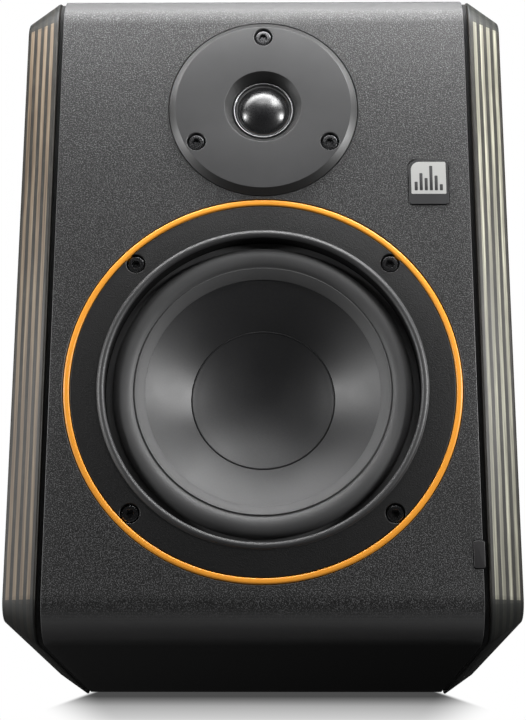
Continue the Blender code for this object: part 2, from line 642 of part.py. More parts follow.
def make_power_switch():
    """Rocker switch: a bezel with a well, and a paddle that tips about its cross axis."""
    xs, heights = around_point(ROCKER_CENTRE, 8.5 * MM, 12.5 * MM)
    bezel = block("power_switch_bezel", xs, (FLANGE_FRONT, FLANGE_BACK), heights, "matte_black")
    xs, heights = around_point(ROCKER_CENTRE, 7.0 * MM, 11.0 * MM)
    body = block("switch_body", xs, (172 * MM, FLANGE_FRONT + OVERRUN), heights, None)
    joined = bezel.modifiers.new("body", "BOOLEAN")
    joined.operation = "UNION"
    joined.solver = "EXACT"
    joined.object = body
    xs, heights = around_point(ROCKER_CENTRE, 5.9 * MM, 9.9 * MM)
    pocket(bezel, xs, (182 * MM, FLANGE_BACK + OVERRUN), heights)

    paddle = [(3.0, 9.2), (1.4, 0.0), (3.0, -9.2), (-0.6, -9.2), (-5.0, -5.0), (-5.0, 5.0),
              (-0.6, 9.2)]
    tipped = []
    for out, up in paddle:
        tipped.append(((out * math.cos(ROCKER_TILT) - up * math.sin(ROCKER_TILT)) * MM,
                       (out * math.sin(ROCKER_TILT) + up * math.cos(ROCKER_TILT)) * MM))
    rings = [(-5.6 * MM, tipped), (5.6 * MM, tipped)]
    lofted("power_rocker", rings, "gloss_black",
           at(ROCKER_CENTRE[0], ROCKER_PIVOT_DEPTH, ROCKER_CENTRE[1]), SIDE_PROFILE)


def make_signal_parts():
    """The combined line and microphone socket, and the phono socket above it."""
    centre = at(JACK_CENTRE[0], 0, JACK_CENTRE[1])
    jack = [(3.4 * MM, 168 * MM), (11.6 * MM, 168 * MM), (11.6 * MM, FLANGE_FRONT),
            (14.0 * MM, FLANGE_FRONT), (14.0 * MM, FLANGE_BACK), (9.3 * MM, FLANGE_BACK),
            (9.3 * MM, 187 * MM), (3.4 * MM, 187 * MM)]
    turned("combo_input_jack", jack, "matte_black", MEDIUM_ROUND, centre)
    centre = at(LINE_JACK_CENTRE[0], 0, LINE_JACK_CENTRE[1])
    phono = [(0, 180 * MM), (3.2 * MM, 180 * MM), (3.2 * MM, FLANGE_FRONT), (6.0 * MM, FLANGE_FRONT),
             (6.0 * MM, FLANGE_BACK), (4.15 * MM, FLANGE_BACK), (4.15 * MM, 201 * MM),
             (1.6 * MM, 201 * MM), (1.6 * MM, 192 * MM), (0, 192 * MM)]
    turned("phono_jack", phono, "bare_steel", SMALL_ROUND, centre, closed=False)


def make_controls():
    """Volume control with its knob, and the tone switch with its slider."""
    centre = at(KNOB_CENTRE[0], 0, KNOB_CENTRE[1])
    shaft_tip = 203 * MM
    pot = [(0, 177 * MM), (8.0 * MM, 177 * MM), (8.0 * MM, 186 * MM), (3.4 * MM, 186 * MM),
           (3.4 * MM, FLANGE_BACK + 0.5 * MM), (3.0 * MM, FLANGE_BACK + 0.5 * MM),
           (3.0 * MM, shaft_tip), (0, shaft_tip)]
    turned("volume_pot", pot, "bare_steel", SMALL_ROUND, centre, closed=False)
    knob_front = FLANGE_BACK + 1.0 * MM
    knob = [(0, shaft_tip + GAP), (3.5 * MM, shaft_tip + GAP), (3.5 * MM, knob_front),
            (9.0 * MM, knob_front), (8.4 * MM, 205.5 * MM), (7.6 * MM, 206.4 * MM),
            (0, 206.4 * MM)]
    turned("volume_knob", knob, "matte_black", MEDIUM_ROUND, centre, closed=False)

    xs, heights = around_point(TONE_CENTRE, 7.0 * MM, 3.2 * MM)
    block("tone_switch", xs, (179 * MM, AMP_PLATE_FRONT - 0.5 * MM), heights, "bare_steel")
    xs, heights = around_point((TONE_CENTRE[0] - 2 * MM, TONE_CENTRE[1]), 2.0 * MM, 1.7 * MM)
    block("tone_slider", xs, (AMP_PLATE_FRONT - 0.2 * MM, 194 * MM), heights, "white_plastic")


def make_electronics():
    """Amplifier board with its capacitor, and the mains transformer on the cabinet floor."""
    board = (150 * MM, 151.6 * MM)
    block("amp_board", (-56 * MM, 56 * MM), board, (34 * MM, 176 * MM), "circuit_board")
    turned("filter_capacitor", disc(11 * MM, 119 * MM, board[0] - GAP), "gloss_black",
           SMALL_ROUND, at(0, 0, 150 * MM), closed=False)
    height = 30 * MM
    inner = 8 * MM
    outer = 31 * MM
    soft = 4 * MM
    core = [(inner + soft, 0), (outer - soft, 0), (outer, soft), (outer, height - soft),
            (outer - soft, height), (inner + soft, height), (inner, height - soft), (inner, soft)]
    turned("transformer", core, "spider_cloth", MEDIUM_ROUND, at(0, 112 * MM, 46 * MM), (0, 0, 0))


def smooth_route(points, between):
    """Points on a smooth curve through the route's own points."""
    ends = [points[0] * 2 - points[1]] + points + [points[-1] * 2 - points[-2]]
    route = []
    for index in range(1, len(ends) - 2):
        before, start, end, after = ends[index - 1:index + 3]
        for step in range(between):
            t = step / between
            route.append(0.5 * (2 * start + (end - before) * t
                                + (2 * before - 5 * start + 4 * end - after) * t ** 2
                                + (3 * start - before - 3 * end + after) * t ** 3))
    route.append(points[-1])
    return route


def make_lead(name, stations):
    """A jacketed pair inside the cabinet, from the board to a driver."""
    points = smooth_route([at(x * MM, depth * MM, height * MM) for x, depth, height in stations], 4)
    curve = bpy.data.curves.new(name, "CURVE")
    curve.dimensions = "3D"
    curve.bevel_depth = 1.5 * MM
    curve.bevel_resolution = 1
    curve.use_fill_caps = True
    spline = curve.splines.new("POLY")
    spline.points.add(len(points) - 1)
    for slot, point in zip(spline.points, points):
        slot.co = (*point, 1.0)
    add_object(name, curve, "rubber")


def make_leads():
    """Both driver leads."""
    make_lead("woofer_lead", [(0, 38.2, 44), (-10, 52, 42), (-32, 74, 38), (-43, 105, 38),
                              (-44, 132, 46), (-42, 148.2, 50)])
    make_lead("tweeter_lead", [(15, 24.8, 225), (28, 42, 219), (40, 76, 200), (45, 112, 178),
                               (44, 134, 160), (42, 148.2, 156)])


def build():
    """Make every part of the speaker."""
    start_afresh()
    make_cabinet()
    make_front_trim()
    make_woofer()
    make_tweeter()
    make_port()
    make_amp_plate()
    make_heat_sink()
    make_mains_inlet()
    make_power_switch()
    make_signal_parts()
    make_controls()
    make_electronics()
    make_leads()


build()
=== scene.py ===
"""Looks of the powered bookshelf speaker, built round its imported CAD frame.

Everything is in metres in the CAD's frame: the baffle faces -Y and +Z is up. Turned
profiles are lists of (radius, depth, fillet) in millimetres, the depth counted back from
the baffle's plane, and are drawn about the centre of the CAD node that they stand for.
"""
import json
import math

import bmesh
import bpy
from mathutils import Matrix, Quaternion, Vector


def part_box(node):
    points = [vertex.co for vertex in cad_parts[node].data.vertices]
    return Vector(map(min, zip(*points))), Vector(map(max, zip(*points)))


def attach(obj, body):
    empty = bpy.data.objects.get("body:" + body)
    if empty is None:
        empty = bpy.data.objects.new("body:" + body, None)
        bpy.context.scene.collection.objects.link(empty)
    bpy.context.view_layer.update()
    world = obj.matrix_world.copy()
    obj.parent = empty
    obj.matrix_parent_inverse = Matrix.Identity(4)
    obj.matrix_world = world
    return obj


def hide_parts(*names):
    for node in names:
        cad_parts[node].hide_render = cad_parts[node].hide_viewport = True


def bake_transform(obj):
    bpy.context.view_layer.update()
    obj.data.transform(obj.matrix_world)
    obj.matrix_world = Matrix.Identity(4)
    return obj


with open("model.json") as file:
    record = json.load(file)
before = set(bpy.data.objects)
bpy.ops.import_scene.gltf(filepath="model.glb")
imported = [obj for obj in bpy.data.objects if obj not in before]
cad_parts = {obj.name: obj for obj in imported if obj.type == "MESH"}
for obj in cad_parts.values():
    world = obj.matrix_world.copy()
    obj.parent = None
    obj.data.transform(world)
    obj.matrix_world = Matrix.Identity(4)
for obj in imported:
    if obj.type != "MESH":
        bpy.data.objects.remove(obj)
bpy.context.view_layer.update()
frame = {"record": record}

MM = 0.001
FINE = 160
MIDDLE = 96
COARSE = 48
SHARP_ANGLE = math.radians(32)
MERGE_DISTANCE = 1e-7
ON_AXIS = 1e-6
CUT_EDGE = 0.05 * MM

RECORD = frame["record"]
BODY_OF = {node: body for body, nodes in RECORD["behaviour"]["bodies"].items() for node in nodes}
WRAP_LOW, WRAP_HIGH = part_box("cabinet_wrap")
FRONT = WRAP_LOW.y
HEIGHT = WRAP_HIGH.z


# ---------------------------------------------------------------- shapes

def centre_of(node):
    """The middle of a CAD node."""
    low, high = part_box(node)
    return (low + high) / 2


def depth_of(y):
    """A y value as a depth in millimetres behind the baffle's plane."""
    return (y - FRONT) / MM


def measures(node):
    """Radius, front depth and back depth of a turned CAD node, in millimetres."""
    low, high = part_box(node)
    return (high.x - low.x) / 2 / MM, depth_of(low.y), depth_of(high.y)


def body_and_slot(piece, node):
    """The piece moves with the node's body."""
    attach(piece, BODY_OF[node])


def stand_for(piece, *nodes):
    """The piece is shown in place of these CAD nodes."""
    body_and_slot(piece, nodes[0])
    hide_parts(*nodes)


def linked(name, data):
    """A new object in the scene."""
    made = bpy.data.objects.new(name, data)
    bpy.context.scene.collection.objects.link(made)
    return made


def object_from(name, shape, material, clean=True):
    """A shaded object from a bmesh, which is freed. Cleaning merges doubles and turns faces outward."""
    if clean:
        bmesh.ops.remove_doubles(shape, verts=shape.verts[:], dist=MERGE_DISTANCE)
        bmesh.ops.recalc_face_normals(shape, faces=shape.faces[:])
    mesh = bpy.data.meshes.new(name)
    shape.to_mesh(mesh)
    shape.free()
    if material:
        mesh.materials.append(material)
    piece = linked(name, mesh)
    shade(piece)
    return piece


def shade(piece):
    """Smooth shading that keeps the real edges."""
    piece.data.shade_smooth()
    piece.data.set_sharp_from_angle(angle=SHARP_ANGLE)


def fillet(points, closed, steps=6):
    """Round the corners of a line of (u, v, radius) points."""
    smooth = []
    last = len(points) - 1
    for index, (u, v, radius) in enumerate(points):
        if not radius or (not closed and index in (0, last)):
            smooth.append((u, v))
            continue
        here = Vector((u, v))
        following = points[(index + 1) % len(points)]
        back = (Vector(points[index - 1][:2]) - here).normalized()
        ahead = (Vector(following[:2]) - here).normalized()
        half = back.angle(ahead) / 2
        middle = here + (back + ahead).normalized() * (radius / math.sin(half))
        start = (here + back * radius / math.tan(half) - middle).normalized()
        end = (here + ahead * radius / math.tan(half) - middle).normalized()
        for step in range(steps + 1):
            smooth.append(tuple(middle + start.slerp(end, step / steps) * radius))
    return smooth


def lathe(name, profile, centre, material, segments=MIDDLE, closed=True, steps=6, flute=None,
          turn=None):
    """A turned piece about the Y axis through the centre, from a profile in millimetres.

    An open profile starts and ends on the axis. flute changes the radius with the angle.
    With a turn the depth runs along the turned Y axis, from the centre itself.
    """
    shape = bmesh.new()
    rings = []
    for radius, depth in fillet(profile, closed, steps):
        place = Vector((0, depth * MM, 0))
        if radius < ON_AXIS:
            rings.append([shape.verts.new(place)] * segments)
            continue
        ring = []
        for index in range(segments):
            angle = 2 * math.pi * index / segments
            reach = radius * MM
            if flute:
                reach = flute(radius, depth, angle) * MM
            ring.append(shape.verts.new(place + Vector((math.cos(angle), 0, math.sin(angle))) * reach))
        rings.append(ring)
    origin = centre if turn else Vector((centre.x, FRONT, centre.z))
    for vert in shape.verts:
        vert.co = origin + (turn @ vert.co if turn else vert.co)
    pairs = list(zip(rings, rings[1:]))
    if closed:
        pairs.append((rings[-1], rings[0]))
    for first, second in pairs:
        for index in range(segments):
            following = (index + 1) % segments
            corners = [first[index], first[following], second[following], second[index]]
            face = list(dict.fromkeys(corners))
            if len(face) > 2:
                shape.faces.new(face)
    return object_from(name, shape, material)


def turned(node, name, profile, centre, look, segments=MIDDLE, **shape):
    """A turned piece shown in place of a CAD node."""
    stand_for(lathe(name, profile, centre, LOOKS[look], segments, **shape), node)


def soft_ring(node, name, profile, centre, look, sectors, segments):
    """A turned ring shown in place of a CAD node, made in sectors, each a piece of its own.
    """
    material = LOOKS[look]
    whole = lathe(name, profile, centre, material, segments, steps=3)
    axis = Vector((centre.x, FRONT, centre.z))
    share = 2 * math.pi / sectors
    for sector in range(sectors):
        shape = bmesh.new()
        shape.from_mesh(whole.data)
        others = []
        for face in shape.faces:
            place = face.calc_center_median() - axis
            if int(math.atan2(place.z, place.x) % (2 * math.pi) / share) != sector:
                others.append(face)
        bmesh.ops.delete(shape, geom=others, context="FACES")
        piece = object_from(f"{name}_{sector + 1}", shape, material, clean=False)
        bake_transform(piece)
        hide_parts(node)
    bpy.data.objects.remove(whole, do_unlink=True)


def loft(name, rings, material):
    """A closed piece through matching rings of points, with flat ends."""
    shape = bmesh.new()
    loops = [[shape.verts.new(point) for point in ring] for ring in rings]
    shape.faces.new(loops[0])
    shape.faces.new(loops[-1])
    for lower, upper in zip(loops, loops[1:]):
        for index in range(len(lower)):
            following = (index + 1) % len(lower)
            shape.faces.new((lower[index], lower[following], upper[following], upper[index]))
    return object_from(name, shape, material)


def arc(centre, radius, start, end, steps):
    """Points of an arc, angles in degrees."""
    points = []
    for step in range(steps + 1):
        angle = math.radians(start + (end - start) * step / steps)
        points.append((centre[0] + radius * math.cos(angle), centre[1] + radius * math.sin(angle)))
    return points


def sharp(points):
    """Profile points that need no rounding."""
    return [(u, v, 0) for u, v in points]


def backed(front, thickness):
    """A profile's front line, and its back at this distance behind it."""
    return front + [(radius, depth + thickness, 0) for radius, depth, _ in reversed(front)]


def rounded_rectangle(half_width, half_height, radius, steps=6):
    """The outline of a rectangle about the origin with round corners."""
    wide = half_width - radius
    high = half_height - radius
    points = []
    for sign_x, sign_z, start in ((1, 1, 0), (-1, 1, 90), (-1, -1, 180), (1, -1, 270)):
        points += arc((sign_x * wide, sign_z * high), radius, start, start + 90, steps)
    return points


def slab(name, centre, half_width, half_height, radius, depths, edge, material):
    """A plate across the Y axis with round corners and soft edges, between two y values."""
    front, back = depths
    rings = []
    steps = 4
    ends = [(front, 1, range(steps + 1)), (back, -1, range(steps, -1, -1))]
    for level, inward, order in ends:
        for step in order:
            angle = math.radians(90 * step / steps)
            inset = edge * (1 - math.sin(angle))
            y = level + inward * edge * (1 - math.cos(angle))
            outline = rounded_rectangle(half_width - inset, half_height - inset,
                                        max(radius - inset, edge / 4))
            rings.append([Vector((centre[0] + x, y, centre[1] + z)) for x, z in outline])
    return loft(name, rings, material)


def slab_on(name, node, radius, edge, material, margin=0.0, depths=None):
    """A soft-edged plate that fills a CAD node's box, or is wider by a margin, or lies at other y values."""
    low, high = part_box(node)
    middle = (low + high) / 2
    return slab(name, (middle.x, middle.z), (high.x - low.x) / 2 + margin,
                (high.z - low.z) / 2 + margin, radius, depths or (low.y, high.y), edge, material)


def slab_for(node, name, radius, edge, look):
    """A soft-edged plate shown in place of a CAD node that it fills."""
    stand_for(slab_on(name, node, radius, edge, LOOKS[look]), node)


def combine(piece, other, operation="DIFFERENCE"):
    """Cut the other shape out of the piece, or join it on, and remove the other."""
    step = piece.modifiers.new("combine", "BOOLEAN")
    step.operation = operation
    step.solver = "EXACT"
    step.object = other
    graph = bpy.context.evaluated_depsgraph_get()
    mesh = bpy.data.meshes.new_from_object(piece.evaluated_get(graph))
    piece.modifiers.clear()
    piece.data = mesh
    bpy.data.objects.remove(other, do_unlink=True)
    shade(piece)


def block(piece, centre, half_width, half_height, radius, depths, edge=CUT_EDGE,
          operation="DIFFERENCE"):
    """Cut a soft-edged block out of the piece, or join it on."""
    other = slab("block", centre, half_width, half_height, radius, depths, edge, None)
    combine(piece, other, operation)


def bore(piece, centre, radius, depths, segments=COARSE, flare=0.0):
    """A round hole between two depths in millimetres, with a small chamfer at its first end."""
    mouth, end = depths
    out = math.copysign(1.0, mouth - end)
    profile = [(0, mouth + out, 0), (radius + flare + (1.0 if flare else 0), mouth + out, 0),
               (radius, mouth - out * flare, 0), (radius, end, 0), (0, end, 0)]
    combine(piece, lathe("bore", profile, centre, None, segments, closed=False))


def joined(name, pieces, material):
    """One piece from several."""
    shape = bmesh.new()
    for piece in pieces:
        shape.from_mesh(piece.data)
        bpy.data.objects.remove(piece, do_unlink=True)
    return object_from(name, shape, material, clean=False)


def two_tone(piece, centre, look, chosen):
    """Give some faces another look, chosen by the face and its reach from the axis."""
    piece.data.materials.append(LOOKS[look])
    for face in piece.data.polygons:
        reach = math.hypot(face.center.x - centre.x, face.center.z - centre.z) / MM
        if chosen(face, reach):
            face.material_index = 1


# ---------------------------------------------------------------- materials

def grey(level, blue=0.0):
    """A grey, with a little more or less blue."""
    return (level, level, level + blue)


def scaled(colour, factor):
    """A colour made lighter or darker."""
    return tuple(min(channel * factor, 1.0) for channel in colour)


class Nodes:
    """A node tree, with short ways to add to it."""

    def __init__(self, tree):
        self.tree = tree

    def put(self, socket, value):
        """Link an output to the socket, or give it a constant. Colours are three numbers."""
        if isinstance(value, bpy.types.NodeSocket):
            self.tree.links.new(value, socket)
        elif socket.type == "RGBA":
            socket.default_value = (*value, 1.0)
        else:
            socket.default_value = value

    def add(self, kind, inputs=(), **settings):
        node = self.tree.nodes.new("ShaderNode" + kind)
        for key, value in settings.items():
            setattr(node, key, value)
        for socket, value in dict(inputs).items():
            self.put(node.inputs[socket], value)
        return node

    def coordinates(self, stretch=(1, 1, 1)):
        """The piece's own coordinates in metres, stretched."""
        source = self.add("TexCoord").outputs["Object"]
        return self.add("Mapping", {"Scale": stretch, "Vector": source}).outputs["Vector"]

    def noise(self, scale, stretch=(1, 1, 1), detail=3.0, roughness=0.55):
        return self.add("TexNoise", {"Scale": scale, "Detail": detail, "Roughness": roughness,
                                     "Vector": self.coordinates(stretch)}).outputs["Fac"]

    def bands(self, direction, per_metre, distortion):
        """Stripes across one axis. The texture draws 20 of them for each unit of its scale."""
        return self.add("TexWave", {"Scale": per_metre / 20, "Distortion": distortion,
                                    "Vector": self.coordinates()},
                        wave_type="BANDS", bands_direction=direction).outputs["Fac"]

    def split(self, vector):
        """The X, Y and Z of a vector."""
        return self.add("SeparateXYZ", {"Vector": vector}).outputs

    def axis(self, name):
        """One of the piece's own coordinates, X, Y or Z, in metres."""
        return self.split(self.coordinates())[name]

    def facing(self):
        """The X, Y and Z of the direction that a face points in."""
        return self.split(self.add("NewGeometry").outputs["True Normal"])

    def maths(self, operation, *values):
        return self.add("Math", dict(enumerate(values)), operation=operation).outputs[0]

    def spread(self, value, low, high, start=0.0, end=1.0, smooth=False):
        """Map a value from start..end to low..high."""
        inputs = {"Value": value, "From Min": start, "From Max": end, "To Min": low, "To Max": high}
        kind = "SMOOTHSTEP" if smooth else "LINEAR"
        return self.add("MapRange", inputs, interpolation_type=kind).outputs["Result"]

    def ramp(self, value, *stops):
        """Colours from (place, colour) stops."""
        node = self.add("ValToRGB", {"Fac": value})
        marks = node.color_ramp.elements
        while len(marks) < len(stops):
            marks.new(0.5)
        for mark, (place, colour) in zip(marks, stops):
            mark.position = place
            mark.color = (*colour, 1.0)
        return node.outputs["Color"]

    def mix(self, share, first, second):
        """The first colour where the share is 0, the second where it is 1."""
        node = self.add("Mix", {"Factor": share}, data_type="RGBA")
        for name, value in (("A", first), ("B", second)):
            self.put(next(s for s in node.inputs if s.name == name and s.type == "RGBA"), value)
        return next(s for s in node.outputs if s.type == "RGBA")

    def bump(self, height, strength, distance, below=None):
        inputs = {"Strength": strength, "Distance": distance, "Height": height}
        if below:
            inputs["Normal"] = below
        return self.add("Bump", inputs).outputs["Normal"]


class Recipe(Nodes):
    """A material's nodes."""

    def __init__(self, name, colour, roughness, metallic=0.0, **extras):
        self.material = bpy.data.materials.new(name)
        self.material.use_nodes = True
        super().__init__(self.material.node_tree)
        self.surface(Base_Color=colour, Roughness=roughness, Metallic=metallic, **extras)

    def surface(self, **values):
        """Set or link the shader's inputs, and hand over the material."""
        for key, value in values.items():
            self.put(self.tree.nodes["Principled BSDF"].inputs[key.replace("_", " ")], value)
        return self.material


def plain(name, colour, roughness, grain, depth, metallic=0.0, tone=0.12, stretch=(1, 1, 1), **extras):
    """A moulded, painted or machined surface: slow tone change, fine grain, uneven gloss."""
    recipe = Recipe(name, colour, roughness, metallic, **extras)
    slow = recipe.noise(45, detail=2.0)
    fine = recipe.noise(grain, stretch, detail=4.0)
    wear = 0.06
    return recipe.surface(
        Base_Color=recipe.ramp(slow, (0.3, scaled(colour, 1 - tone)), (0.7, scaled(colour, 1 + tone))),
        Roughness=recipe.spread(fine, roughness - wear, roughness + wear, 0.3, 0.7),
        Normal=recipe.bump(fine, 0.5, depth * MM))


def textured_black():
    """Fine hammered grain on the flat front, which runs out into a smooth satin on the bends."""
    recipe = Recipe("textured_black", grey(0.040, 0.002), 0.45, Specular_IOR_Level=0.46)
    forward = recipe.maths("MULTIPLY", recipe.facing()["Y"], -1.0)
    flat = recipe.spread(forward, 0.0, 1.0, 0.80, 0.995, smooth=True)
    speck = recipe.spread(recipe.noise(2150, detail=1.0, roughness=0.8), 0.0, 1.0, 0.42, 0.66)
    satin = recipe.noise(3200, detail=2.0)
    rough_colour = recipe.ramp(speck, (0.0, grey(0.001)), (0.40, grey(0.003)), (1.0, grey(0.095, 0.002)))
    smooth_colour = recipe.ramp(satin, (0.3, grey(0.078, 0.001)), (0.7, grey(0.096, 0.001)))
    under = recipe.bump(satin, 0.25, 0.02 * MM)
    height = recipe.maths("MULTIPLY", speck, flat)
    return recipe.surface(Base_Color=recipe.mix(flat, smooth_colour, rough_colour),
                          Roughness=recipe.spread(flat, 0.36, 0.56),
                          Normal=recipe.bump(height, 0.45, 0.08 * MM, under))


def plywood():
    """Nine veneers across the panel's thickness, streaked along the grain, under a dark wash; painted shade
    darkens the top and bottom bends, and the right panel's light plies are a lighter copy with painted
    glare.
    """
    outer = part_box("right_side_panel")[1].x
    veneer_thickness = 1.53 * MM
    # painted shade: the near-black colour that the top and bottom bends of each panel fade to
    bend_shade_colour = (0.020, 0.021, 0.020)
    recipe = Recipe("plywood", (0.2, 0.18, 0.14), 0.5, Specular_IOR_Level=0.3)
    across = recipe.maths("ABSOLUTE", recipe.axis("X"))
    wander = recipe.maths("MULTIPLY", recipe.noise(30, (1, 1, 0.6), detail=2.0), 0.5 * MM)
    inward = recipe.maths("SUBTRACT", outer + 0.25 * MM, recipe.maths("ADD", across, wander))
    count = recipe.maths("DIVIDE", inward, veneer_thickness)
    wave = recipe.maths("PINGPONG", recipe.maths("SUBTRACT", count, 0.5), 1.0)
    light = recipe.maths("MULTIPLY", recipe.spread(wave, 0.0, 1.0, 0.40, 0.60, smooth=True),
                         recipe.spread(count, 1.0, 0.0, 8.0, 8.3))
    streak = recipe.noise(900, (1, 0.020, 0.020), detail=4.0, roughness=0.7)
    pores = recipe.noise(900, (1, 0.12, 0.12), detail=3.0, roughness=0.7)
    # the light plies in two copies of one wood: a darker one for the left panel, painted shade, and a
    # brighter, paler one for the right, painted light and glare
    left_ply_painted_shade = recipe.ramp(streak, (0.30, (0.090, 0.062, 0.040)), (0.50, (0.175, 0.130, 0.088)),
                       (0.70, (0.300, 0.245, 0.175)))
    right_ply_painted_glare = recipe.ramp(streak, (0.30, (0.140, 0.134, 0.105)), (0.50, (0.220, 0.212, 0.165)),
                         (0.70, (0.520, 0.508, 0.400)))
    # the right panel, where X is above 0, takes the brighter copy: painted light from the side
    pale = recipe.mix(recipe.maths("GREATER_THAN", recipe.axis("X"), 0.0), left_ply_painted_shade, right_ply_painted_glare)
    dark = recipe.ramp(pores, (0.32, (0.014, 0.013, 0.011)), (0.55, (0.028, 0.026, 0.022)),
                       (0.75, (0.050, 0.046, 0.038)))
    facing = recipe.facing()
    # painted shade: faces turned up or down, the bends at the top and bottom, fade to the near-black colour
    level = recipe.spread(recipe.maths("ABSOLUTE", facing["Z"]), 0.0, 0.95, 0.01, 0.16, smooth=True)
    edges = recipe.mix(level, recipe.mix(light, dark, pale), bend_shade_colour)
    outward = recipe.spread(recipe.maths("ABSOLUTE", facing["X"]), 0.0, 1.0, 0.90, 0.97, smooth=True)
    figure = recipe.noise(38, (1, 0.9, 0.05), detail=6.0, roughness=0.6)
    face_grain = recipe.noise(700, (1, 1.0, 0.03), detail=4.0, roughness=0.7)
    veneer = recipe.ramp(recipe.maths("ADD", recipe.maths("MULTIPLY", figure, 0.7),
                                      recipe.maths("MULTIPLY", face_grain, 0.3)),
                         (0.36, (0.020, 0.017, 0.014)), (0.50, (0.034, 0.029, 0.024)),
                         (0.64, (0.058, 0.048, 0.038)))
    ridges = recipe.bump(light, 0.35, 0.08 * MM)
    return recipe.surface(Base_Color=recipe.mix(outward, edges, veneer),
                          Roughness=recipe.spread(streak, 0.42, 0.56, 0.3, 0.7),
                          Normal=recipe.bump(streak, 0.30, 0.05 * MM, ridges))


def cone_paper():
    """Dark coated paper pulp: fine fibres and a soft, uneven gloss."""
    recipe = Recipe("cone_paper", grey(0.020, 0.001), 0.43, Specular_IOR_Level=0.62)
    fibres = recipe.noise(1400, detail=5.0, roughness=0.7)
    return recipe.surface(
        Base_Color=recipe.ramp(fibres, (0.30, grey(0.008, 0.001)), (0.70, grey(0.016, 0.001))),
        Roughness=recipe.spread(recipe.noise(60, detail=2.0), 0.41, 0.46, 0.3, 0.7),
        Normal=recipe.bump(fibres, 0.28, 0.035 * MM))


def winding(name, colour, turns_per_metre, metallic):
    """Wire laid turn by turn along the Y axis, with painted shade in the grooves between turns."""
    recipe = Recipe(name, colour, 0.3, metallic)
    turns = recipe.bands("Y", turns_per_metre, 0.2)
    # darker between the turns: painted shade in the grooves between wires
    return recipe.surface(Base_Color=recipe.ramp(turns, (0.1, scaled(colour, 0.35)), (0.6, colour)),
                          Roughness=recipe.spread(turns, 0.45, 0.25),
                          Normal=recipe.bump(turns, 0.8, 0.08 * MM))


def woven(name, colour, threads_per_metre):
    """A plain weave of round threads, with painted shade between the threads."""
    recipe = Recipe(name, colour, 0.85, Sheen_Weight=0.2)
    weave = recipe.maths("MULTIPLY", *(recipe.bands(axis, threads_per_metre, 0.4) for axis in "XZ"))
    # darker where the threads part: painted shade between threads
    return recipe.surface(Base_Color=recipe.ramp(weave, (0.0, scaled(colour, 0.45)), (0.6, colour)),
                          Normal=recipe.bump(weave, 0.6, 0.1 * MM))


def circuit_board():
    """Green solder mask over copper runs, with bare pads."""
    recipe = Recipe("circuit_board", (0.02, 0.13, 0.05), 0.3)
    upright = recipe.add("Mapping", {"Rotation": (math.radians(90), 0, 0),
                                     "Vector": recipe.coordinates()}).outputs["Vector"]
    runs = recipe.add("TexBrick", {
        "Scale": 90, "Mortar Size": 0.06, "Color1": (0.012, 0.100, 0.040),
        "Color2": (0.016, 0.130, 0.050), "Mortar": (0.040, 0.230, 0.090), "Vector": upright}).outputs
    return recipe.surface(Base_Color=runs["Color"],
                          Roughness=recipe.spread(recipe.noise(300), 0.22, 0.38, 0.3, 0.7),
                          Normal=recipe.bump(runs["Fac"], 0.4, 0.05 * MM))


# name, colour, roughness, scale of the grain, depth of the grain in millimetres, and the rest
PLAIN_LOOKS = (
    ("seam_black", grey(0.012), 0.80, 1500, 0.100, {}),
    ("back_black", grey(0.022, 0.001), 0.55, 900, 0.100, {}),
    ("flange_black", grey(0.0046, 0.0002), 0.45, 2000, 0.250, {"Specular_IOR_Level": 0.45}),
    ("lip_black", grey(0.024, 0.001), 0.48, 2000, 0.100, {"Specular_IOR_Level": 0.8}),
    ("faceplate_black", grey(0.039, 0.001), 0.40, 2600, 0.030, {}),
    ("turned_black", grey(0.008), 0.42, 2600, 0.010, {"Specular_IOR_Level": 0.6}),
    ("orange", (0.86, 0.340, 0.033), 0.35, 1800, 0.020, {"tone": 0.04}),
    ("rubber", grey(0.050, 0.001), 0.55, 2500, 0.030, {"Specular_IOR_Level": 0.65}),
    ("dome", grey(0.010, 0.001), 0.29, 2400, 0.012, {"Specular_IOR_Level": 0.9}),
    ("clamp_ring", grey(0.42, 0.01), 0.38, 1800, 0.010, {"metallic": 1.0}),
    ("black_steel", grey(0.160, 0.005), 0.26, 2600, 0.020, {"metallic": 1.0}),
    ("steel", grey(0.56, 0.01), 0.30, 1600, 0.015, {"metallic": 1.0, "tone": 0.06}),
    ("badge_plate", grey(0.34, -0.01), 0.45, 3000, 0.010, {"tone": 0.03}),
    ("badge_ink", grey(0.020, 0.001), 0.40, 3000, 0.010, {}),
    ("smoked", (0.022, 0.021, 0.022), 0.42, 2000, 0.020, {}),
    ("lamp", (0.72, 0.74, 0.72), 0.30, 2000, 0.010, {}),
    ("plate_black", grey(0.030, 0.002), 0.42, 1800, 0.060, {"metallic": 0.2}),
    ("anodised", grey(0.032, 0.002), 0.38, 900, 0.030, {"metallic": 0.7, "stretch": (1, 1, 0.05)}),
    ("moulded_black", grey(0.020, 0.001), 0.45, 1600, 0.040, {}),
    ("gloss_black", grey(0.012, 0.001), 0.18, 1500, 0.008, {}),
    ("white", grey(0.72, -0.02), 0.40, 2000, 0.010, {"tone": 0.03}),
    ("red", (0.55, 0.03, 0.02), 0.35, 2000, 0.010, {"tone": 0.05}),
    ("ferrite", (0.065, 0.063, 0.060), 0.60, 700, 0.120, {}),
    ("foam", grey(0.075, 0.005), 0.95, 420, 0.900, {}),
    ("sleeve", (0.012, 0.013, 0.030), 0.22, 1200, 0.010, {}),
)
LOOKS = {row[0]: plain(*row[:-1], **row[-1]) for row in PLAIN_LOOKS}
LOOKS.update(textured_black=textured_black(), plywood=plywood(), cone_paper=cone_paper(),
             copper=winding("copper", (0.72, 0.30, 0.12), 3300, 1.0),
             tape=winding("tape", (0.62, 0.44, 0.10), 400, 0.0),
             spider_cloth=woven("spider_cloth", (0.50, 0.36, 0.17), 1500),
             circuit_board=circuit_board())


# ---------------------------------------------------------------- cabinet

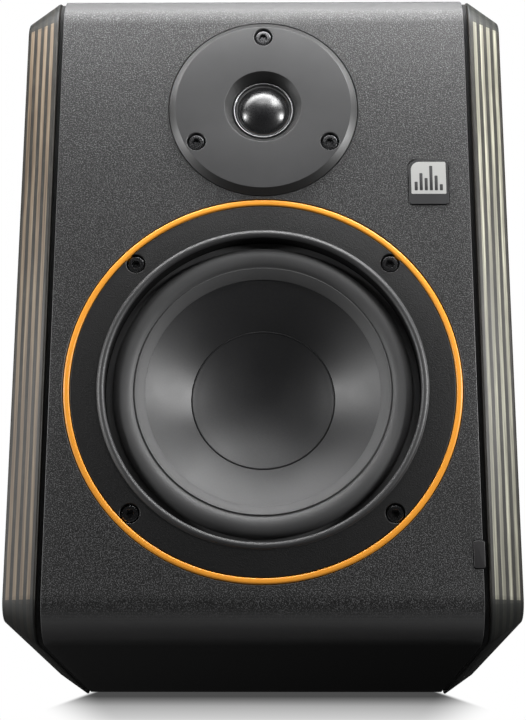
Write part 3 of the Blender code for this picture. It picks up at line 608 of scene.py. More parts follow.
def wrap_outline(inset, corner):
    """Side view of the bent wrap as (depth, height), its outer skin moved in by an inset."""
    wall = 15 * MM
    back = WRAP_HIGH.y - FRONT
    radius = corner - inset
    steps = 24
    points = [(back - inset, inset)]
    points += arc((corner, corner), radius, 270, 180, steps)
    points += arc((corner, HEIGHT - corner), radius, 180, 90, steps)
    points += [(back - inset, HEIGHT - inset), (back - inset, HEIGHT - wall), (wall, HEIGHT - wall)]
    points += [(wall, wall), (back - inset, wall)]
    return points


def side_ring(x, outline):
    """A side view's (depth, height) points, set at an x value."""
    return [Vector((x, FRONT + depth, height)) for depth, height in outline]


def make_wrap():
    """Baffle, top and underside bent from one skin, with its rebates and pockets."""
    corner = 18 * MM
    arris = 0.3 * MM
    half = WRAP_HIGH.x
    steps = 4
    ends = []
    for step in range(steps + 1):
        angle = math.radians(90 * step / steps)
        ends.append((arris * (1 - math.sin(angle)), half - arris * (1 - math.cos(angle))))
    sections = [(inset, -x) for inset, x in ends] + [(inset, x) for inset, x in reversed(ends)]
    rings = [side_ring(x, wrap_outline(inset, corner)) for inset, x in sections]
    wrap = loft("cabinet_wrap_skin", rings, LOOKS["textured_black"])

    woofer = centre_of("woofer_trim_ring")
    tweeter = centre_of("tweeter_faceplate")
    through = (0, 16)
    bore(wrap, woofer, measures("woofer_trim_ring")[0] + 0.35, (0, 5.3), FINE, flare=0.15)
    bore(wrap, woofer, 66.0, through, FINE)
    bore(wrap, tweeter, measures("tweeter_faceplate")[0] + 0.3, (0, 2.0), FINE, flare=0.2)
    bore(wrap, tweeter, 28.0, through, MIDDLE)
    clearance = 0.3 * MM
    for node, depth, radius in (("badge", 0.6, 2.4), ("status_window", 3.3, 0.9)):
        combine(wrap, slab_on("pocket", node, radius * MM, CUT_EDGE, None, clearance,
                              (FRONT - 2 * MM, FRONT + depth * MM)))
    stand_for(wrap, "cabinet_wrap")


def panel_outline(inset):
    """Side view of a panel as (depth, height), moved in by an inset."""
    low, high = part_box("right_side_panel")
    depth = high.y - low.y
    front = max(18 * MM - inset, 1.5 * MM)
    rear = max(6 * MM - inset * 0.4, 1.5 * MM)
    near, far = inset, depth - inset
    bottom, top = inset, HEIGHT - inset
    steps = 14
    points = arc((near + front, bottom + front), front, 180, 270, steps)
    points += arc((far - rear, bottom + rear), rear, 270, 360, steps)
    points += arc((far - rear, top - rear), rear, 0, 90, steps)
    points += arc((near + front, top - front), front, 90, 180, steps)
    return points


def make_side_panels():
    """Both plywood panels, with the broad bevel and softened arrises."""
    low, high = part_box("right_side_panel")
    bevel = 9.8
    inner = low.x / MM
    outer = high.x / MM
    edge = [(inner, bevel + 4, 0), (inner, 0, 0.7), (outer, bevel, 1.6), (outer, bevel + 4, 0)]
    profile = fillet(edge, closed=False, steps=5)
    for side, name in ((-1, "left_side_panel"), (1, "right_side_panel")):
        rings = [side_ring(side * x * MM, panel_outline(inset * MM)) for x, inset in profile]
        stand_for(loft(name + "_wood", rings, LOOKS["plywood"]), name)


def make_seam_strips():
    """Black spacers that close the gap between the wrap and each side panel."""
    inner = WRAP_HIGH.x + 0.1 * MM
    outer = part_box("right_side_panel")[0].x - 0.1 * MM
    setback = 4 * MM
    margin = 0.8 * MM
    corner = 14 * MM
    back = 188 * MM
    bottom, top = margin, HEIGHT - margin
    points = [(back, bottom)]
    points += arc((setback + corner, bottom + corner), corner, 270, 180, 14)
    points += arc((setback + corner, top - corner), corner, 180, 90, 14)
    points += [(back, top)]
    for side, name in ((-1, "left_seam_strip"), (1, "right_seam_strip")):
        rings = [side_ring(side * x, points) for x in (inner, outer)]
        body_and_slot(loft(name, rings, LOOKS["seam_black"]), "left_side_board")


def make_back_board():
    """The back, set between the panels, with its two openings."""
    back = slab_on("back_board_panel", "back_board", 1 * MM, 0.6 * MM, LOOKS["back_black"])
    low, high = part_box("back_board")
    opening_place, half_width, half_height = (0, 0.105), 0.060, 0.075
    block(back, opening_place, half_width, half_height, 3 * MM, (low.y - MM, high.y + MM))
    bore(back, centre_of("port_tube"), 22.4, (depth_of(low.y) - 1, depth_of(high.y) + 1), MIDDLE)
    stand_for(back, "back_board")


def badge_shape(name, corners, radii, depths, edge, material):
    """A small plate across the Y axis with its own radius at each corner."""
    front, back = depths
    (left, bottom), (right, top) = corners
    rings = []
    for y, inset in ((front, edge), (front + edge / 2, edge * 0.3), (front + edge, 0.0), (back, 0.0)):
        outline = [(left + inset, bottom + inset), (right - inset, bottom + inset),
                   (right - inset, top - inset), (left + inset, top - inset)]
        rounded = [(x, z, max(radius - inset, edge)) for (x, z), radius in zip(outline, radii)]
        rings.append([Vector((x, y, z)) for x, z in fillet(rounded, closed=True, steps=8)])
    return loft(name, rings, material)


def make_badge():
    """A dark plate with a pale field, a generic bar-graph mark and a plain dark foot."""
    low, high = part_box("badge")
    rim = 1.0 * MM
    foot = 4.6 * MM
    pale = 0.12 * MM
    radii = (1.4 * MM, 1.4 * MM, 1.4 * MM, 4.4 * MM)
    plate = badge_shape("badge_face", ((low.x, low.z), (high.x, high.z)), radii,
                        (low.y + pale, high.y), 0.2 * MM, LOOKS["badge_ink"])
    stand_for(plate, "badge")
    field_low = (low.x + rim, low.z + foot)
    field_high = (high.x - rim, high.z - rim)
    radii = (0.5 * MM, 0.5 * MM, 0.8 * MM, 3.6 * MM)
    field = badge_shape("badge_field", (field_low, field_high), radii, (low.y + pale / 2, high.y),
                        0.06 * MM, LOOKS["badge_plate"])
    body_and_slot(field, "badge")

    bars = []
    levels = (0.35, 0.70, 0.50, 1.0, 0.60, 0.25)
    pitch = 2.1 * MM
    middle = (field_low[0] + field_high[0]) / 2
    floor = field_low[1] + 1.6 * MM
    tallest = field_high[1] - field_low[1] - 3.4 * MM
    for index, level in enumerate(levels):
        x = middle + (index - (len(levels) - 1) / 2) * pitch
        tall = tallest * level / 2
        bars.append(slab("bar", (x, floor + tall), 0.65 * MM, tall, 0.3 * MM,
                         (low.y + 0.01 * MM, low.y + 0.3 * MM), 0.04 * MM, None))
    body_and_slot(joined("badge_bars", bars, LOOKS["badge_ink"]), "badge")


def make_status_window():
    """Smoked lens at the baffle's edge, with its lamp behind."""
    slab_for("status_window", "status_window_lens", 0.9 * MM, 0.3 * MM, "smoked")
    slab_for("status_led", "status_lamp", 0.4 * MM, 0.2 * MM, "lamp")


# ---------------------------------------------------------------- drivers

def socket_screw(node, head_radius, head, shank_radius, tip):
    """A black socket-head screw with a chamfered hex well."""
    centre = centre_of(node)
    top = measures(node)[1]
    under = top + head
    profile = [(0, top, 0), (head_radius, top, 0.45), (head_radius, under, 0.2),
               (shank_radius, under, 0), (shank_radius, tip, 0.5), (0, tip, 0)]
    screw = lathe(node + "_socket_head", profile, centre, LOOKS["black_steel"], COARSE, closed=False)
    bore(screw, centre, head_radius * 0.56, (top, top + head * 0.6), 6, flare=0.12)
    stand_for(screw, node)


def make_woofer_frame():
    """Basket: flat flange, rolled lip, sloping spokes, spider seat, and four counterbores."""
    centre = centre_of("woofer_frame")
    rim, face, _ = measures("woofer_frame")
    bead = 67.2
    profile = sharp(arc((65.6, face + 0.55), 1.55, 180, 337, 14))
    profile += [(bead, face, 0.1), (rim, face, 0.35), (rim, 5.0, 0.2), (65.7, 5.0, 0.2), (65.7, 9.6, 0.5),
               (64.6, 12.0, 2.0), (47.0, 38.0, 2.0), (47.0, 49.7, 1.0), (24.0, 49.7, 0.4),
               (24.0, 45.5, 0.6), (37.0, 43.0, 0.4), (37.0, 40.9, 0.2), (43.0, 40.9, 0.2),
               (43.0, 36.4, 1.0), (60.4, 10.6, 1.5), (60.4, 8.3, 0.2), (64.4, 8.3, 0.2)]
    basket = lathe("woofer_cast_frame", profile, centre, LOOKS["flange_black"], FINE)
    for number in range(1, 5):
        spot = centre_of(f"woofer_screw_{number}")
        bore(basket, spot, 4.0, (face, 3.4), COARSE, flare=0.25)
        bore(basket, spot, 2.3, (3.0, 6.0), COARSE)
    spokes = 6
    for spoke in range(spokes):
        turn = Matrix.Rotation(math.radians(-360 / spokes * spoke), 4, "Y")
        window = slab("window", (0.050, 0.0), 0.020, 0.015, 4 * MM,
                      (FRONT + 17 * MM, FRONT + 35 * MM), 0.5 * MM, None)
        window.data.transform(turn)
        window.data.transform(Matrix.Translation((centre.x, 0, centre.z)))
        combine(basket, window)
    bead_back = FRONT + (face + 0.6) * MM
    two_tone(basket, centre, "lip_black", lambda part, reach: reach < bead and part.center.y < bead_back)
    stand_for(basket, "woofer_frame", "woofer_basket")


def make_woofer():
    """The woofer's visible and inner pieces."""
    centre = centre_of("woofer_frame")
    ring, face, _ = measures("woofer_trim_ring")
    trim = [(ring - 2.5, face, 0.7), (ring, face, 0.9), (ring, 5.0, 0.2), (ring - 2.5, 5.0, 0.2)]
    turned("woofer_trim_ring", "orange_trim_ring", trim, centre, "orange", FINE)
    make_woofer_frame()

    def roll(level, radius, start, end):
        middle, widening = 56.8, 1.25
        return [(middle + widening * out, depth, 0)
                for out, depth in arc((0, level), radius, start, end, 26)]

    surround = [(48.1, 7.80, 0.15), (52.2, 4.83, 0.2), (52.45, 5.5, 0.1)] + roll(7.3, 3.7, 213, 360)
    surround += [(64.1, 7.3, 0.1), (64.1, 7.8, 0.1)] + roll(7.7, 3.4, 360, 213)
    surround += [(52.25, 6.1, 0.1), (52.1, 5.25, 0), (48.1, 8.15, 0.1)]
    soft_ring("woofer_surround", "woofer_half_roll", surround, centre, "rubber", 24, 192)

    cone = [(13.3, 33.4, 0), (52.0, 5.45, 0.1), (52.0, 6.05, 0.1), (13.3, 34.2, 0)]
    turned("woofer_cone", "woofer_cone_shell", cone, centre, "cone_paper", FINE)

    edge = 29.7
    rim_depth = 21.1
    hollow = 7.0
    front = [(0.0, rim_depth + hollow, 0)]
    samples = 20
    for index in range(1, samples):
        share = index / samples
        front.append(((edge - 0.8) * share, rim_depth + 0.45 + (hollow - 0.45) * (1 - share ** 2), 0))
    front += [(edge - 0.6, rim_depth + 0.45, 0.1), (edge - 0.35, rim_depth + 0.1, 0.1),
              (edge, rim_depth + 0.1, 0.1), (edge + 0.2, rim_depth + 0.4, 0)]
    turned("woofer_dust_cap", "woofer_dust_cap_shell", backed(front, 0.6), centre, "cone_paper", FINE,
           closed=False, steps=3)
    for number in range(1, 5):
        socket_screw(f"woofer_screw_{number}", 3.4, 2.2, 1.9, 13.5)


def make_woofer_motor():
    """Coil, spider, plates and magnet behind the cone."""
    centre = centre_of("woofer_frame")
    coil = [(12.7, 30, 0), (13.0, 30, 0), (13.0, 48, 0), (13.6, 48, 0.1), (13.6, 60, 0.1), (12.7, 60, 0)]
    turned("woofer_voice_coil", "woofer_coil_winding", coil, centre, "copper")
    level = 40.2
    swell, waves = 0.9, 3
    front = [(13.3, level, 0)]
    samples = 60
    for index in range(samples + 1):
        share = index / samples
        front.append((16 + 20 * share, level - swell * math.sin(share * 2 * waves * math.pi), 0))
    front.append((42.7, level, 0))
    soft_ring("woofer_spider", "woofer_corrugated_spider", backed(front, 0.4), centre, "spider_cloth",
              12, 96)
    gap_plate = [(14.1, 50, 0.3), (36, 50, 0.8), (36, 55, 0.8), (14.1, 55, 0.3)]
    turned("woofer_top_plate", "woofer_gap_plate", gap_plate, centre, "steel")
    magnet = [(18, 55.3, 0.8), (40, 55.3, 1.2), (40, 70.3, 1.2), (18, 70.3, 0.8)]
    turned("woofer_magnet", "woofer_ferrite_ring", magnet, centre, "ferrite")
    yoke = [(0, 48.5, 0), (12, 48.5, 0.6), (12, 70.6, 1.0), (36, 70.6, 0.8), (36, 76.6, 2.0),
            (0, 76.6, 0)]
    turned("woofer_yoke", "woofer_pole_and_plate", yoke, centre, "steel", closed=False)
    slab_for("woofer_terminals", "woofer_terminal_strip", 0.4 * MM, 0.2 * MM, "circuit_board")


def make_tweeter():
    """Faceplate with its conical mouth, screws, clamp ring and surround."""
    centre = centre_of("tweeter_faceplate")
    rim, face, _ = measures("tweeter_faceplate")
    mouth, chamfer = 16.3, rim - 2.8
    profile = [(mouth + 0.05, face, 0.35), (chamfer, face, 0.3), (rim, 0.0, 0.4), (rim, 1.7, 0.2),
               (27.5, 1.7, 0.3), (27.5, 4.0, 0.3), (13.1, 4.0, 0.1), (13.1, 2.1, 0.3)]
    plate = lathe("tweeter_front_plate", profile, centre, LOOKS["faceplate_black"], FINE)
    for number in range(1, 4):
        spot = centre_of(f"tweeter_screw_{number}")
        bore(plate, spot, 4.0, (face, 0.6), COARSE, flare=0.25)
        bore(plate, spot, 1.9, (0.0, 3.0), COARSE)
        socket_screw(f"tweeter_screw_{number}", 3.3, 1.9, 1.6, 13.0)
    # the sloping cuts, inside the mouth and round the rim, have a bare turned finish
    two_tone(plate, centre, "turned_black",
             lambda part, reach: reach < mouth or (reach > chamfer and part.normal.y < -0.3))
    stand_for(plate, "tweeter_faceplate")

    clamp = [(12.1, 1.7, 0.34), (12.8, 1.7, 0.34), (12.8, 2.9, 0.1), (12.1, 2.9, 0.1)]
    turned("tweeter_clamp_ring", "tweeter_bright_ring", clamp, centre, "clamp_ring", FINE)
    surround = sharp(arc((11.4, 3.2), 0.65, 180, 360, 12) + [(12.9, 3.2), (12.9, 3.5), (10.9, 3.5)])
    soft_ring("tweeter_surround", "tweeter_roll", surround, centre, "rubber", 16, 160)


def make_tweeter_motor():
    """Dome, coil, plates and magnet."""
    centre = centre_of("tweeter_faceplate")
    reach, apex, _ = measures("tweeter_dome")
    rise = 2.7 - apex
    sphere = (reach ** 2 + rise ** 2) / (2 * rise)
    half_angle = math.degrees(math.asin(reach / sphere))
    skin = 0.35
    outer = arc((0, apex + sphere), sphere, 270, 270 + half_angle, 24)
    inner = arc((0, apex + sphere), sphere - skin, 270 + half_angle, 270, 24)
    dome = [(max(radius, 0), depth, 0) for radius, depth in outer + inner]
    dome[0] = (0, dome[0][1], 0)
    dome[-1] = (0, dome[-1][1], 0)
    turned("tweeter_dome", "tweeter_soft_dome", dome, centre, "dome", closed=False)

    coil = [(10.0, 3.4, 0.05), (10.4, 3.4, 0.05), (10.4, 8.0, 0.05), (10.0, 8.0, 0.05)]
    turned("tweeter_coil", "tweeter_coil_winding", coil, centre, "copper")
    gap_plate = [(10.9, 4.3, 0.2), (25, 4.3, 0.4), (25, 7.3, 0.4), (10.9, 7.3, 0.2)]
    turned("tweeter_top_plate", "tweeter_gap_plate", gap_plate, centre, "steel")
    magnet = [(14, 7.6, 0.5), (24, 7.6, 0.8), (24, 17.6, 0.8), (14, 17.6, 0.5)]
    turned("tweeter_magnet", "tweeter_ferrite_ring", magnet, centre, "ferrite")
    yoke = [(0, 4.6, 0), (9.6, 4.6, 0.4), (9.6, 17.9, 0.5), (22, 17.9, 0.5), (22, 22.9, 1.2), (0, 22.9, 0)]
    turned("tweeter_yoke", "tweeter_pole_and_plate", yoke, centre, "steel", closed=False)


# ---------------------------------------------------------------- inside

def make_boards():
    """Side boards, egg-crate lining, amplifier board, capacitor and transformer."""
    for side, sign in (("left", -1), ("right", 1)):
        node = side + "_side_board"
        board = slab_on(node + "_panel", node, 1.0 * MM, 0.5 * MM, LOOKS["seam_black"])
        for vert in board.data.vertices:
            vert.co.x = sign * min(sign * vert.co.x, WRAP_HIGH.x)
        stand_for(board, node)

    low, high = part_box("acoustic_lining")
    bumps, fine = 12, 6
    wave = 3 * MM
    rings = []
    for row in range(bumps * fine + 1):
        y = low.y + (high.y - low.y) * row / (bumps * fine)
        ring = [Vector((high.x, y, high.z)), Vector((low.x, y, high.z))]
        for column in range(bumps * fine + 1):
            share = column / (bumps * fine)
            swell = math.sin(share * bumps * math.pi) * math.sin(row / fine * math.pi)
            ring.append(Vector((low.x + (high.x - low.x) * share, y, low.z + wave * (1 + swell) / 2)))
        rings.append(ring)
    stand_for(loft("egg_crate_foam", rings, LOOKS["foam"]), "acoustic_lining")

    slab_for("amp_board", "amplifier_board_laminate", 2 * MM, 0.2 * MM, "circuit_board")
    reach, top, foot = measures("filter_capacitor")
    can = [(0, top + 0.3, 0), (reach - 2, top + 0.3, 0.2), (reach - 1.4, top, 0.3), (reach, top, 0.8),
           (reach, foot - 4.5, 0.8), (reach - 0.8, foot - 3.6, 0.5), (reach, foot - 2.7, 0.8),
           (reach, foot, 0.3), (0, foot, 0)]
    turned("filter_capacitor", "filter_capacitor_can", can, centre_of("filter_capacitor"), "sleeve",
           closed=False)

    low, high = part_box("transformer")
    tall = (high.z - low.z) / MM
    reach = (high.x - low.x) / 2 / MM
    core = [(8, 0, 6), (reach, 0, 6), (reach, tall, 6), (8, tall, 6)]
    foot = Vector(((low.x + high.x) / 2, (low.y + high.y) / 2, low.z))
    upright = Matrix.Rotation(math.radians(90), 3, "X")
    turned("transformer", "transformer_winding", core, foot, "tape", turn=upright)
    for node in ("woofer_lead", "tweeter_lead"):
        lead = bpy.data.objects[node]
        lead.data.materials.clear()
        lead.data.materials.append(LOOKS["rubber"])
        finer = lead.modifiers.new("finer", "SUBSURF")
        finer.levels = finer.render_levels = 1


# ---------------------------------------------------------------- back

INLET_PLACE = (-0.036, 0.046)
SWITCH_PLACE = (0.008, 0.046)


def make_port():
    """Port tube with a wide smooth flare."""
    profile = [(20, 85, 0.9), (22, 85, 0.9), (22, 188.3, 0), (28, 188.3, 0.2), (28, 190.3, 1.0),
               (23.4, 190.3, 2.5), (20, 184.3, 5.0)]
    turned("port_tube", "port_flare", profile, centre_of("port_tube"), "moulded_black", FINE)


def make_amp_plate():
    """Rear plate with holes, its four screws, and plain printed scales."""
    low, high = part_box("amp_plate")
    plate = slab_on("amplifier_plate", "amp_plate", 5 * MM, 0.4 * MM, LOOKS["plate_black"])
    beyond = (low.y - MM, high.y + MM)
    # place, half width and height, and corner radius of each opening
    for place, half, radius in ((INLET_PLACE, (0.0148, 0.0158), 1.0),
                                (SWITCH_PLACE, (0.0073, 0.0113), 0.6),
                                ((0.008, 0.090), (0.0046, 0.0021), 0.6)):
        block(plate, place, *half, radius * MM, beyond)
    through = (depth_of(high.y), depth_of(low.y) - 1)
    for x, z, radius in ((0.044, 0.048, 12.0), (0.044, 0.086, 3.6), (-0.036, 0.090, 3.9)):
        bore(plate, Vector((x, 0, z)), radius, through, flare=0.2)
    for number in range(1, 5):
        node = f"amp_plate_screw_{number}"
        spot = centre_of(node)
        bore(plate, spot, 2.0, through, flare=0.2)
        tip, crown = (depth_of(corner.y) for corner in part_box(node))
        profile = [(0, tip, 0), (1.6, tip, 0.5), (1.6, crown - 1.8, 0), (3.3, crown - 1.8, 0.3),
                   (3.3, crown - 0.9, 0.6), (2.2, crown, 0.6), (0, crown, 0)]
        screw = lathe(node + "_pan_head", profile, spot, LOOKS["black_steel"], COARSE, closed=False)
        bore(screw, spot, 1.6, (crown, crown - 1.1), 6, flare=0.1)
        stand_for(screw, node)
    stand_for(plate, "amp_plate")

    marks = []
    ink = (high.y, high.y + 0.08 * MM)
    knob = centre_of("volume_knob")
    ticks = 11
    for index in range(ticks):
        angle = math.radians(-150 + 300 * index / (ticks - 1))
        tick = slab("tick", (0, 0.0118), 0.35 * MM, 1.0 * MM, 0.1 * MM, ink, 0.01 * MM, None)
        tick.data.transform(Matrix.Rotation(angle, 4, "Y"))
        tick.data.transform(Matrix.Translation((knob.x, 0, knob.z)))
        marks.append(tick)
    for x, z, half_width, half_height in ((0.0045, 0.0995, 0.8, 0.3), (0.0115, 0.0995, 0.8, 0.3),
                                          (0.0115, 0.0995, 0.3, 0.8), (0.044, 0.0965, 3.0, 0.3),
                                          (0.044, 0.0665, 5.0, 0.3)):
        marks.append(slab("mark", (x, z), half_width * MM, half_height * MM, 0.1 * MM, ink, 0.01 * MM,
                          None))
    scales = joined("plate_scales", marks, LOOKS["white"])
    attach(scales, BODY_OF["amp_plate"])


def make_heat_sink():
    """Extrusion with rounded fin tips and roots."""
    low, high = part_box("heat_sink")
    fins = 12
    fin = 1.8 * MM
    pitch = (high.x - low.x - fin) / (fins - 1)
    root = low.y + 3 * MM
    soft = 0.7 * MM
    outline = [(high.x, low.y, soft / 2), (low.x, low.y, soft / 2)]
    for index in range(fins):
        left = low.x + index * pitch
        if index:
            outline.append((left, root, soft))
        outline += [(left, high.y, soft), (left + fin, high.y, soft)]
        if index < fins - 1:
            outline.append((left + fin, root, soft))
    points = fillet(outline, closed=True, steps=4)
    rings = [[Vector((x, y, z)) for x, y in points] for z in (low.z, high.z)]
    stand_for(loft("finned_extrusion", rings, LOOKS["anodised"]), "heat_sink")


def make_mains_inlet():
    """Three-pin inlet with its blades, and the fuse drawer with a finger lip and its fuse."""
    low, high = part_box("mains_inlet")
    flange = high.y - 2 * MM
    inlet = slab("three_pin_inlet", INLET_PLACE, 0.018, 0.020, 2.5 * MM, (flange, high.y), 0.4 * MM,
                 LOOKS["moulded_black"])
    block(inlet, INLET_PLACE, 0.0144, 0.0154, 1 * MM, (low.y, flange + MM), 0.3 * MM, "UNION")
    floor = FRONT + 0.176
    beyond = high.y + MM
    cavity_middle = 0.051
    cavity = [(12.2, -8.3, 1.0), (12.2, 3.3, 0.6), (7.2, 8.3, 0.6), (-7.2, 8.3, 0.6),
              (-12.2, 3.3, 0.6), (-12.2, -8.3, 1.0)]
    rings = []
    for y in (floor, beyond):
        rings.append([Vector((INLET_PLACE[0] + x * MM, y, cavity_middle + z * MM))
                      for x, z in fillet(cavity, closed=True, steps=4)])
    combine(inlet, loft("cavity", rings, None))
    block(inlet, (INLET_PLACE[0], 0.0355), 0.0120, 0.0040, 0.4 * MM, (FRONT + 0.175, beyond))
    stand_for(inlet, "mains_inlet")
    blades = []
    for x, z in ((-0.043, 0.0495), (-0.036, 0.053), (-0.029, 0.0495)):
        blades.append(slab("blade", (x, z), 1.0 * MM, 2.2 * MM, 0.5 * MM,
                           (floor - MM, FRONT + 0.187), 0.4 * MM, None))
    body_and_slot(joined("inlet_blades", blades, LOOKS["steel"]), "mains_inlet")

    low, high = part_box("fuse_drawer")
    drawer = slab_on("fuse_drawer_tray", "fuse_drawer", 0.6 * MM, 0.3 * MM, LOOKS["moulded_black"])
    block(drawer, (INLET_PLACE[0], 0.0365), 0.0106, 0.0039, 0.4 * MM, (FRONT + 0.1785, FRONT + 0.1845),
          0.1 * MM)
    block(drawer, (INLET_PLACE[0], 0.0385), 0.0040, 0.0012, 0.5 * MM, (high.y - 0.8 * MM, beyond))
    stand_for(drawer, "fuse_drawer")
    low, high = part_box("fuse")
    reach = (high.z - low.z) / 2 / MM
    length = (high.x - low.x) / MM
    tube = [(0, 0, 0), (reach, 0, 0.4), (reach, 5, 0.1), (reach - 0.25, 5, 0), (reach - 0.25, length - 5, 0),
            (reach, length - 5, 0.1), (reach, length, 0.4), (0, length, 0)]
    across = Matrix.Rotation(math.radians(-90), 3, "Z")
    end = Vector((low.x, (low.y + high.y) / 2, (low.z + high.z) / 2))
    turned("fuse", "fuse_link", tube, end, "steel", COARSE, closed=False, turn=across)


def make_power_switch():
    """Bezel with its well, and a dished paddle with a bar and a ring on its ends."""
    low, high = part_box("power_switch_bezel")
    flange = high.y - 2 * MM
    bezel = slab("switch_bezel", SWITCH_PLACE, 0.0085, 0.0125, 1.5 * MM, (flange, high.y), 0.5 * MM,
                 LOOKS["moulded_black"])
    block(bezel, SWITCH_PLACE, 0.007, 0.011, 0.6 * MM, (low.y, flange + MM), 0.2 * MM, "UNION")
    block(bezel, SWITCH_PLACE, 0.0059, 0.0099, 0.8 * MM, (FRONT + 0.182, high.y + MM))
    stand_for(bezel, "power_switch_bezel")

    outline = fillet([(3.0, 9.2, 0.5), (1.4, 0.0, 9.0), (3.0, -9.2, 0.5), (-0.6, -9.2, 0.4),
                      (-5.0, -5.0, 0.8), (-5.0, 5.0, 0.8), (-0.6, 9.2, 0.4)], closed=True, steps=6)
    tilt = Matrix.Rotation(math.radians(10), 4, "X")
    pivot = Matrix.Translation((SWITCH_PLACE[0], FRONT + 0.1905, SWITCH_PLACE[1]))
    rings = []
    for x, inset in ((-5.6, 0.94), (-5.3, 1.0), (5.3, 1.0), (5.6, 0.94)):
        rings.append([pivot @ tilt @ (Vector((x, out * inset, up * inset)) * MM) for out, up in outline])
    stand_for(loft("rocker_paddle", rings, LOOKS["gloss_black"]), "power_rocker")
    bar = slab("bar", (0, 0.0052), 0.35 * MM, 1.3 * MM, 0.1 * MM, (1.9 * MM, 2.45 * MM), 0.02 * MM, None)
    low_end = Vector((0, 0, -5.2 * MM))
    hoop = lathe("hoop", [(0.9, 1.9, 0), (1.3, 1.9, 0), (1.3, 2.45, 0), (0.9, 2.45, 0)], low_end, None,
                 COARSE, turn=Matrix.Identity(3))
    marks = joined("rocker_marks", [bar, hoop], LOOKS["white"])
    marks.data.transform(pivot @ tilt)
    body_and_slot(marks, "power_rocker")


def make_sockets():
    """Combined line and microphone socket, and the phono socket with its coloured collar."""
    centre = centre_of("combo_input_jack")
    profile = [(3.4, 168, 0.2), (11.6, 168, 0.4), (11.6, 191.1, 0), (14, 191.1, 0.2), (14, 193.1, 0.8),
               (9.3, 193.1, 0.6), (9.3, 187, 0.3), (3.4, 187, 0.5)]
    jack = lathe("combined_socket", profile, centre, LOOKS["moulded_black"], FINE)
    for angle in (90, 210, 330):
        turn = math.radians(angle)
        spot = centre + Vector((math.cos(turn), 0, math.sin(turn))) * 6.3 * MM
        bore(jack, spot, 1.35, (187, 180), COARSE, flare=0.2)
    stand_for(jack, "combo_input_jack")
    centre = centre_of("phono_jack")
    barrel = [(0, 180, 0), (3.2, 180, 0.3), (3.2, 191.1, 0), (6.0, 191.1, 0.2), (6.0, 193.1, 0.4),
              (4.15, 193.1, 0.3), (4.15, 201, 0.3), (3.5, 201, 0.2), (3.5, 192, 0), (0, 192, 0)]
    turned("phono_jack", "phono_barrel", barrel, centre, "steel", closed=False)
    collar = [(1.6, 191.9, 0), (3.45, 191.9, 0), (3.45, 200.6, 0.2), (1.6, 200.6, 0.3)]
    body_and_slot(lathe("phono_collar", collar, centre, LOOKS["red"]), "phono_jack")


def make_controls():
    """Volume control with a fluted knob, and the tone switch."""
    centre = centre_of("volume_pot")
    pot = [(0, 177, 0), (8, 177, 0.5), (8, 186, 0.5), (3.4, 186, 0), (3.4, 193.6, 0.2), (3.0, 193.6, 0),
           (3.0, 203, 0.4), (0, 203, 0)]
    turned("volume_pot", "volume_pot_case", pot, centre, "steel", closed=False)

    flutes, flute_depth = 30, 0.44
    grip = (196.0, 204.6)

    def fluted(radius, depth, angle):
        if radius < 8 or not grip[0] < depth < grip[1]:
            return radius
        return radius - flute_depth / 2 * (1 + math.cos(flutes * angle))

    knob = [(0, 203.3, 0), (3.5, 203.3, 0), (3.5, 194.1, 0.2), (9.0, 194.1, 0.4), (9.0, 195.8, 0.1),
            (8.9, 196.2, 0), (8.5, 204.4, 0), (8.45, 204.8, 0), (8.3, 206.4, 1.1), (0, 206.4, 0)]
    middle = centre_of("volume_knob")
    turned("volume_knob", "fluted_knob", knob, middle, "moulded_black", flutes * 8, closed=False,
           flute=fluted)
    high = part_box("volume_knob")[1]
    pointer = slab("knob_pointer", (middle.x, middle.z + 5.0 * MM), 0.4 * MM, 2.3 * MM, 0.2 * MM,
                   (high.y - 0.3 * MM, high.y), 0.04 * MM, LOOKS["white"])
    body_and_slot(pointer, "volume_knob")

    slab_for("tone_switch", "tone_switch_case", 0.5 * MM, 0.2 * MM, "steel")
    low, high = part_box("tone_slider")
    slider = slab_on("tone_slider_nib", "tone_slider", 0.3 * MM, 0.3 * MM, LOOKS["white"])
    middle = (low + high) / 2
    block(slider, (middle.x, middle.z), 0.3 * MM, 4 * MM, 0.1 * MM,
          (high.y - 0.5 * MM, high.y + MM), 0.02 * MM)
    stand_for(slider, "tone_slider")


# ---------------------------------------------------------------- stage

def make_camera():
    """The photograph's viewpoint: low, close to the middle, looking up at the baffle."""
    side, distance, drop = 0.0065, 0.654, 0.0879
    pitch, yaw, roll = (math.radians(angle) for angle in (17.093, -0.561, 0.091))
    data = bpy.data.cameras.new("camera")
    data.lens = 84.35
    data.sensor_width = 36.0
    data.clip_start = 0.01
    camera = linked("camera", data)
    camera.location = (side, FRONT - distance, -drop)
    forward = Vector((math.sin(yaw) * math.cos(pitch), math.cos(yaw) * math.cos(pitch), math.sin(pitch)))
    camera.rotation_mode = "QUATERNION"
    camera.rotation_quaternion = forward.to_track_quat("-Z", "Y") @ Quaternion((0, 0, 1), roll)
    bpy.context.scene.camera = camera


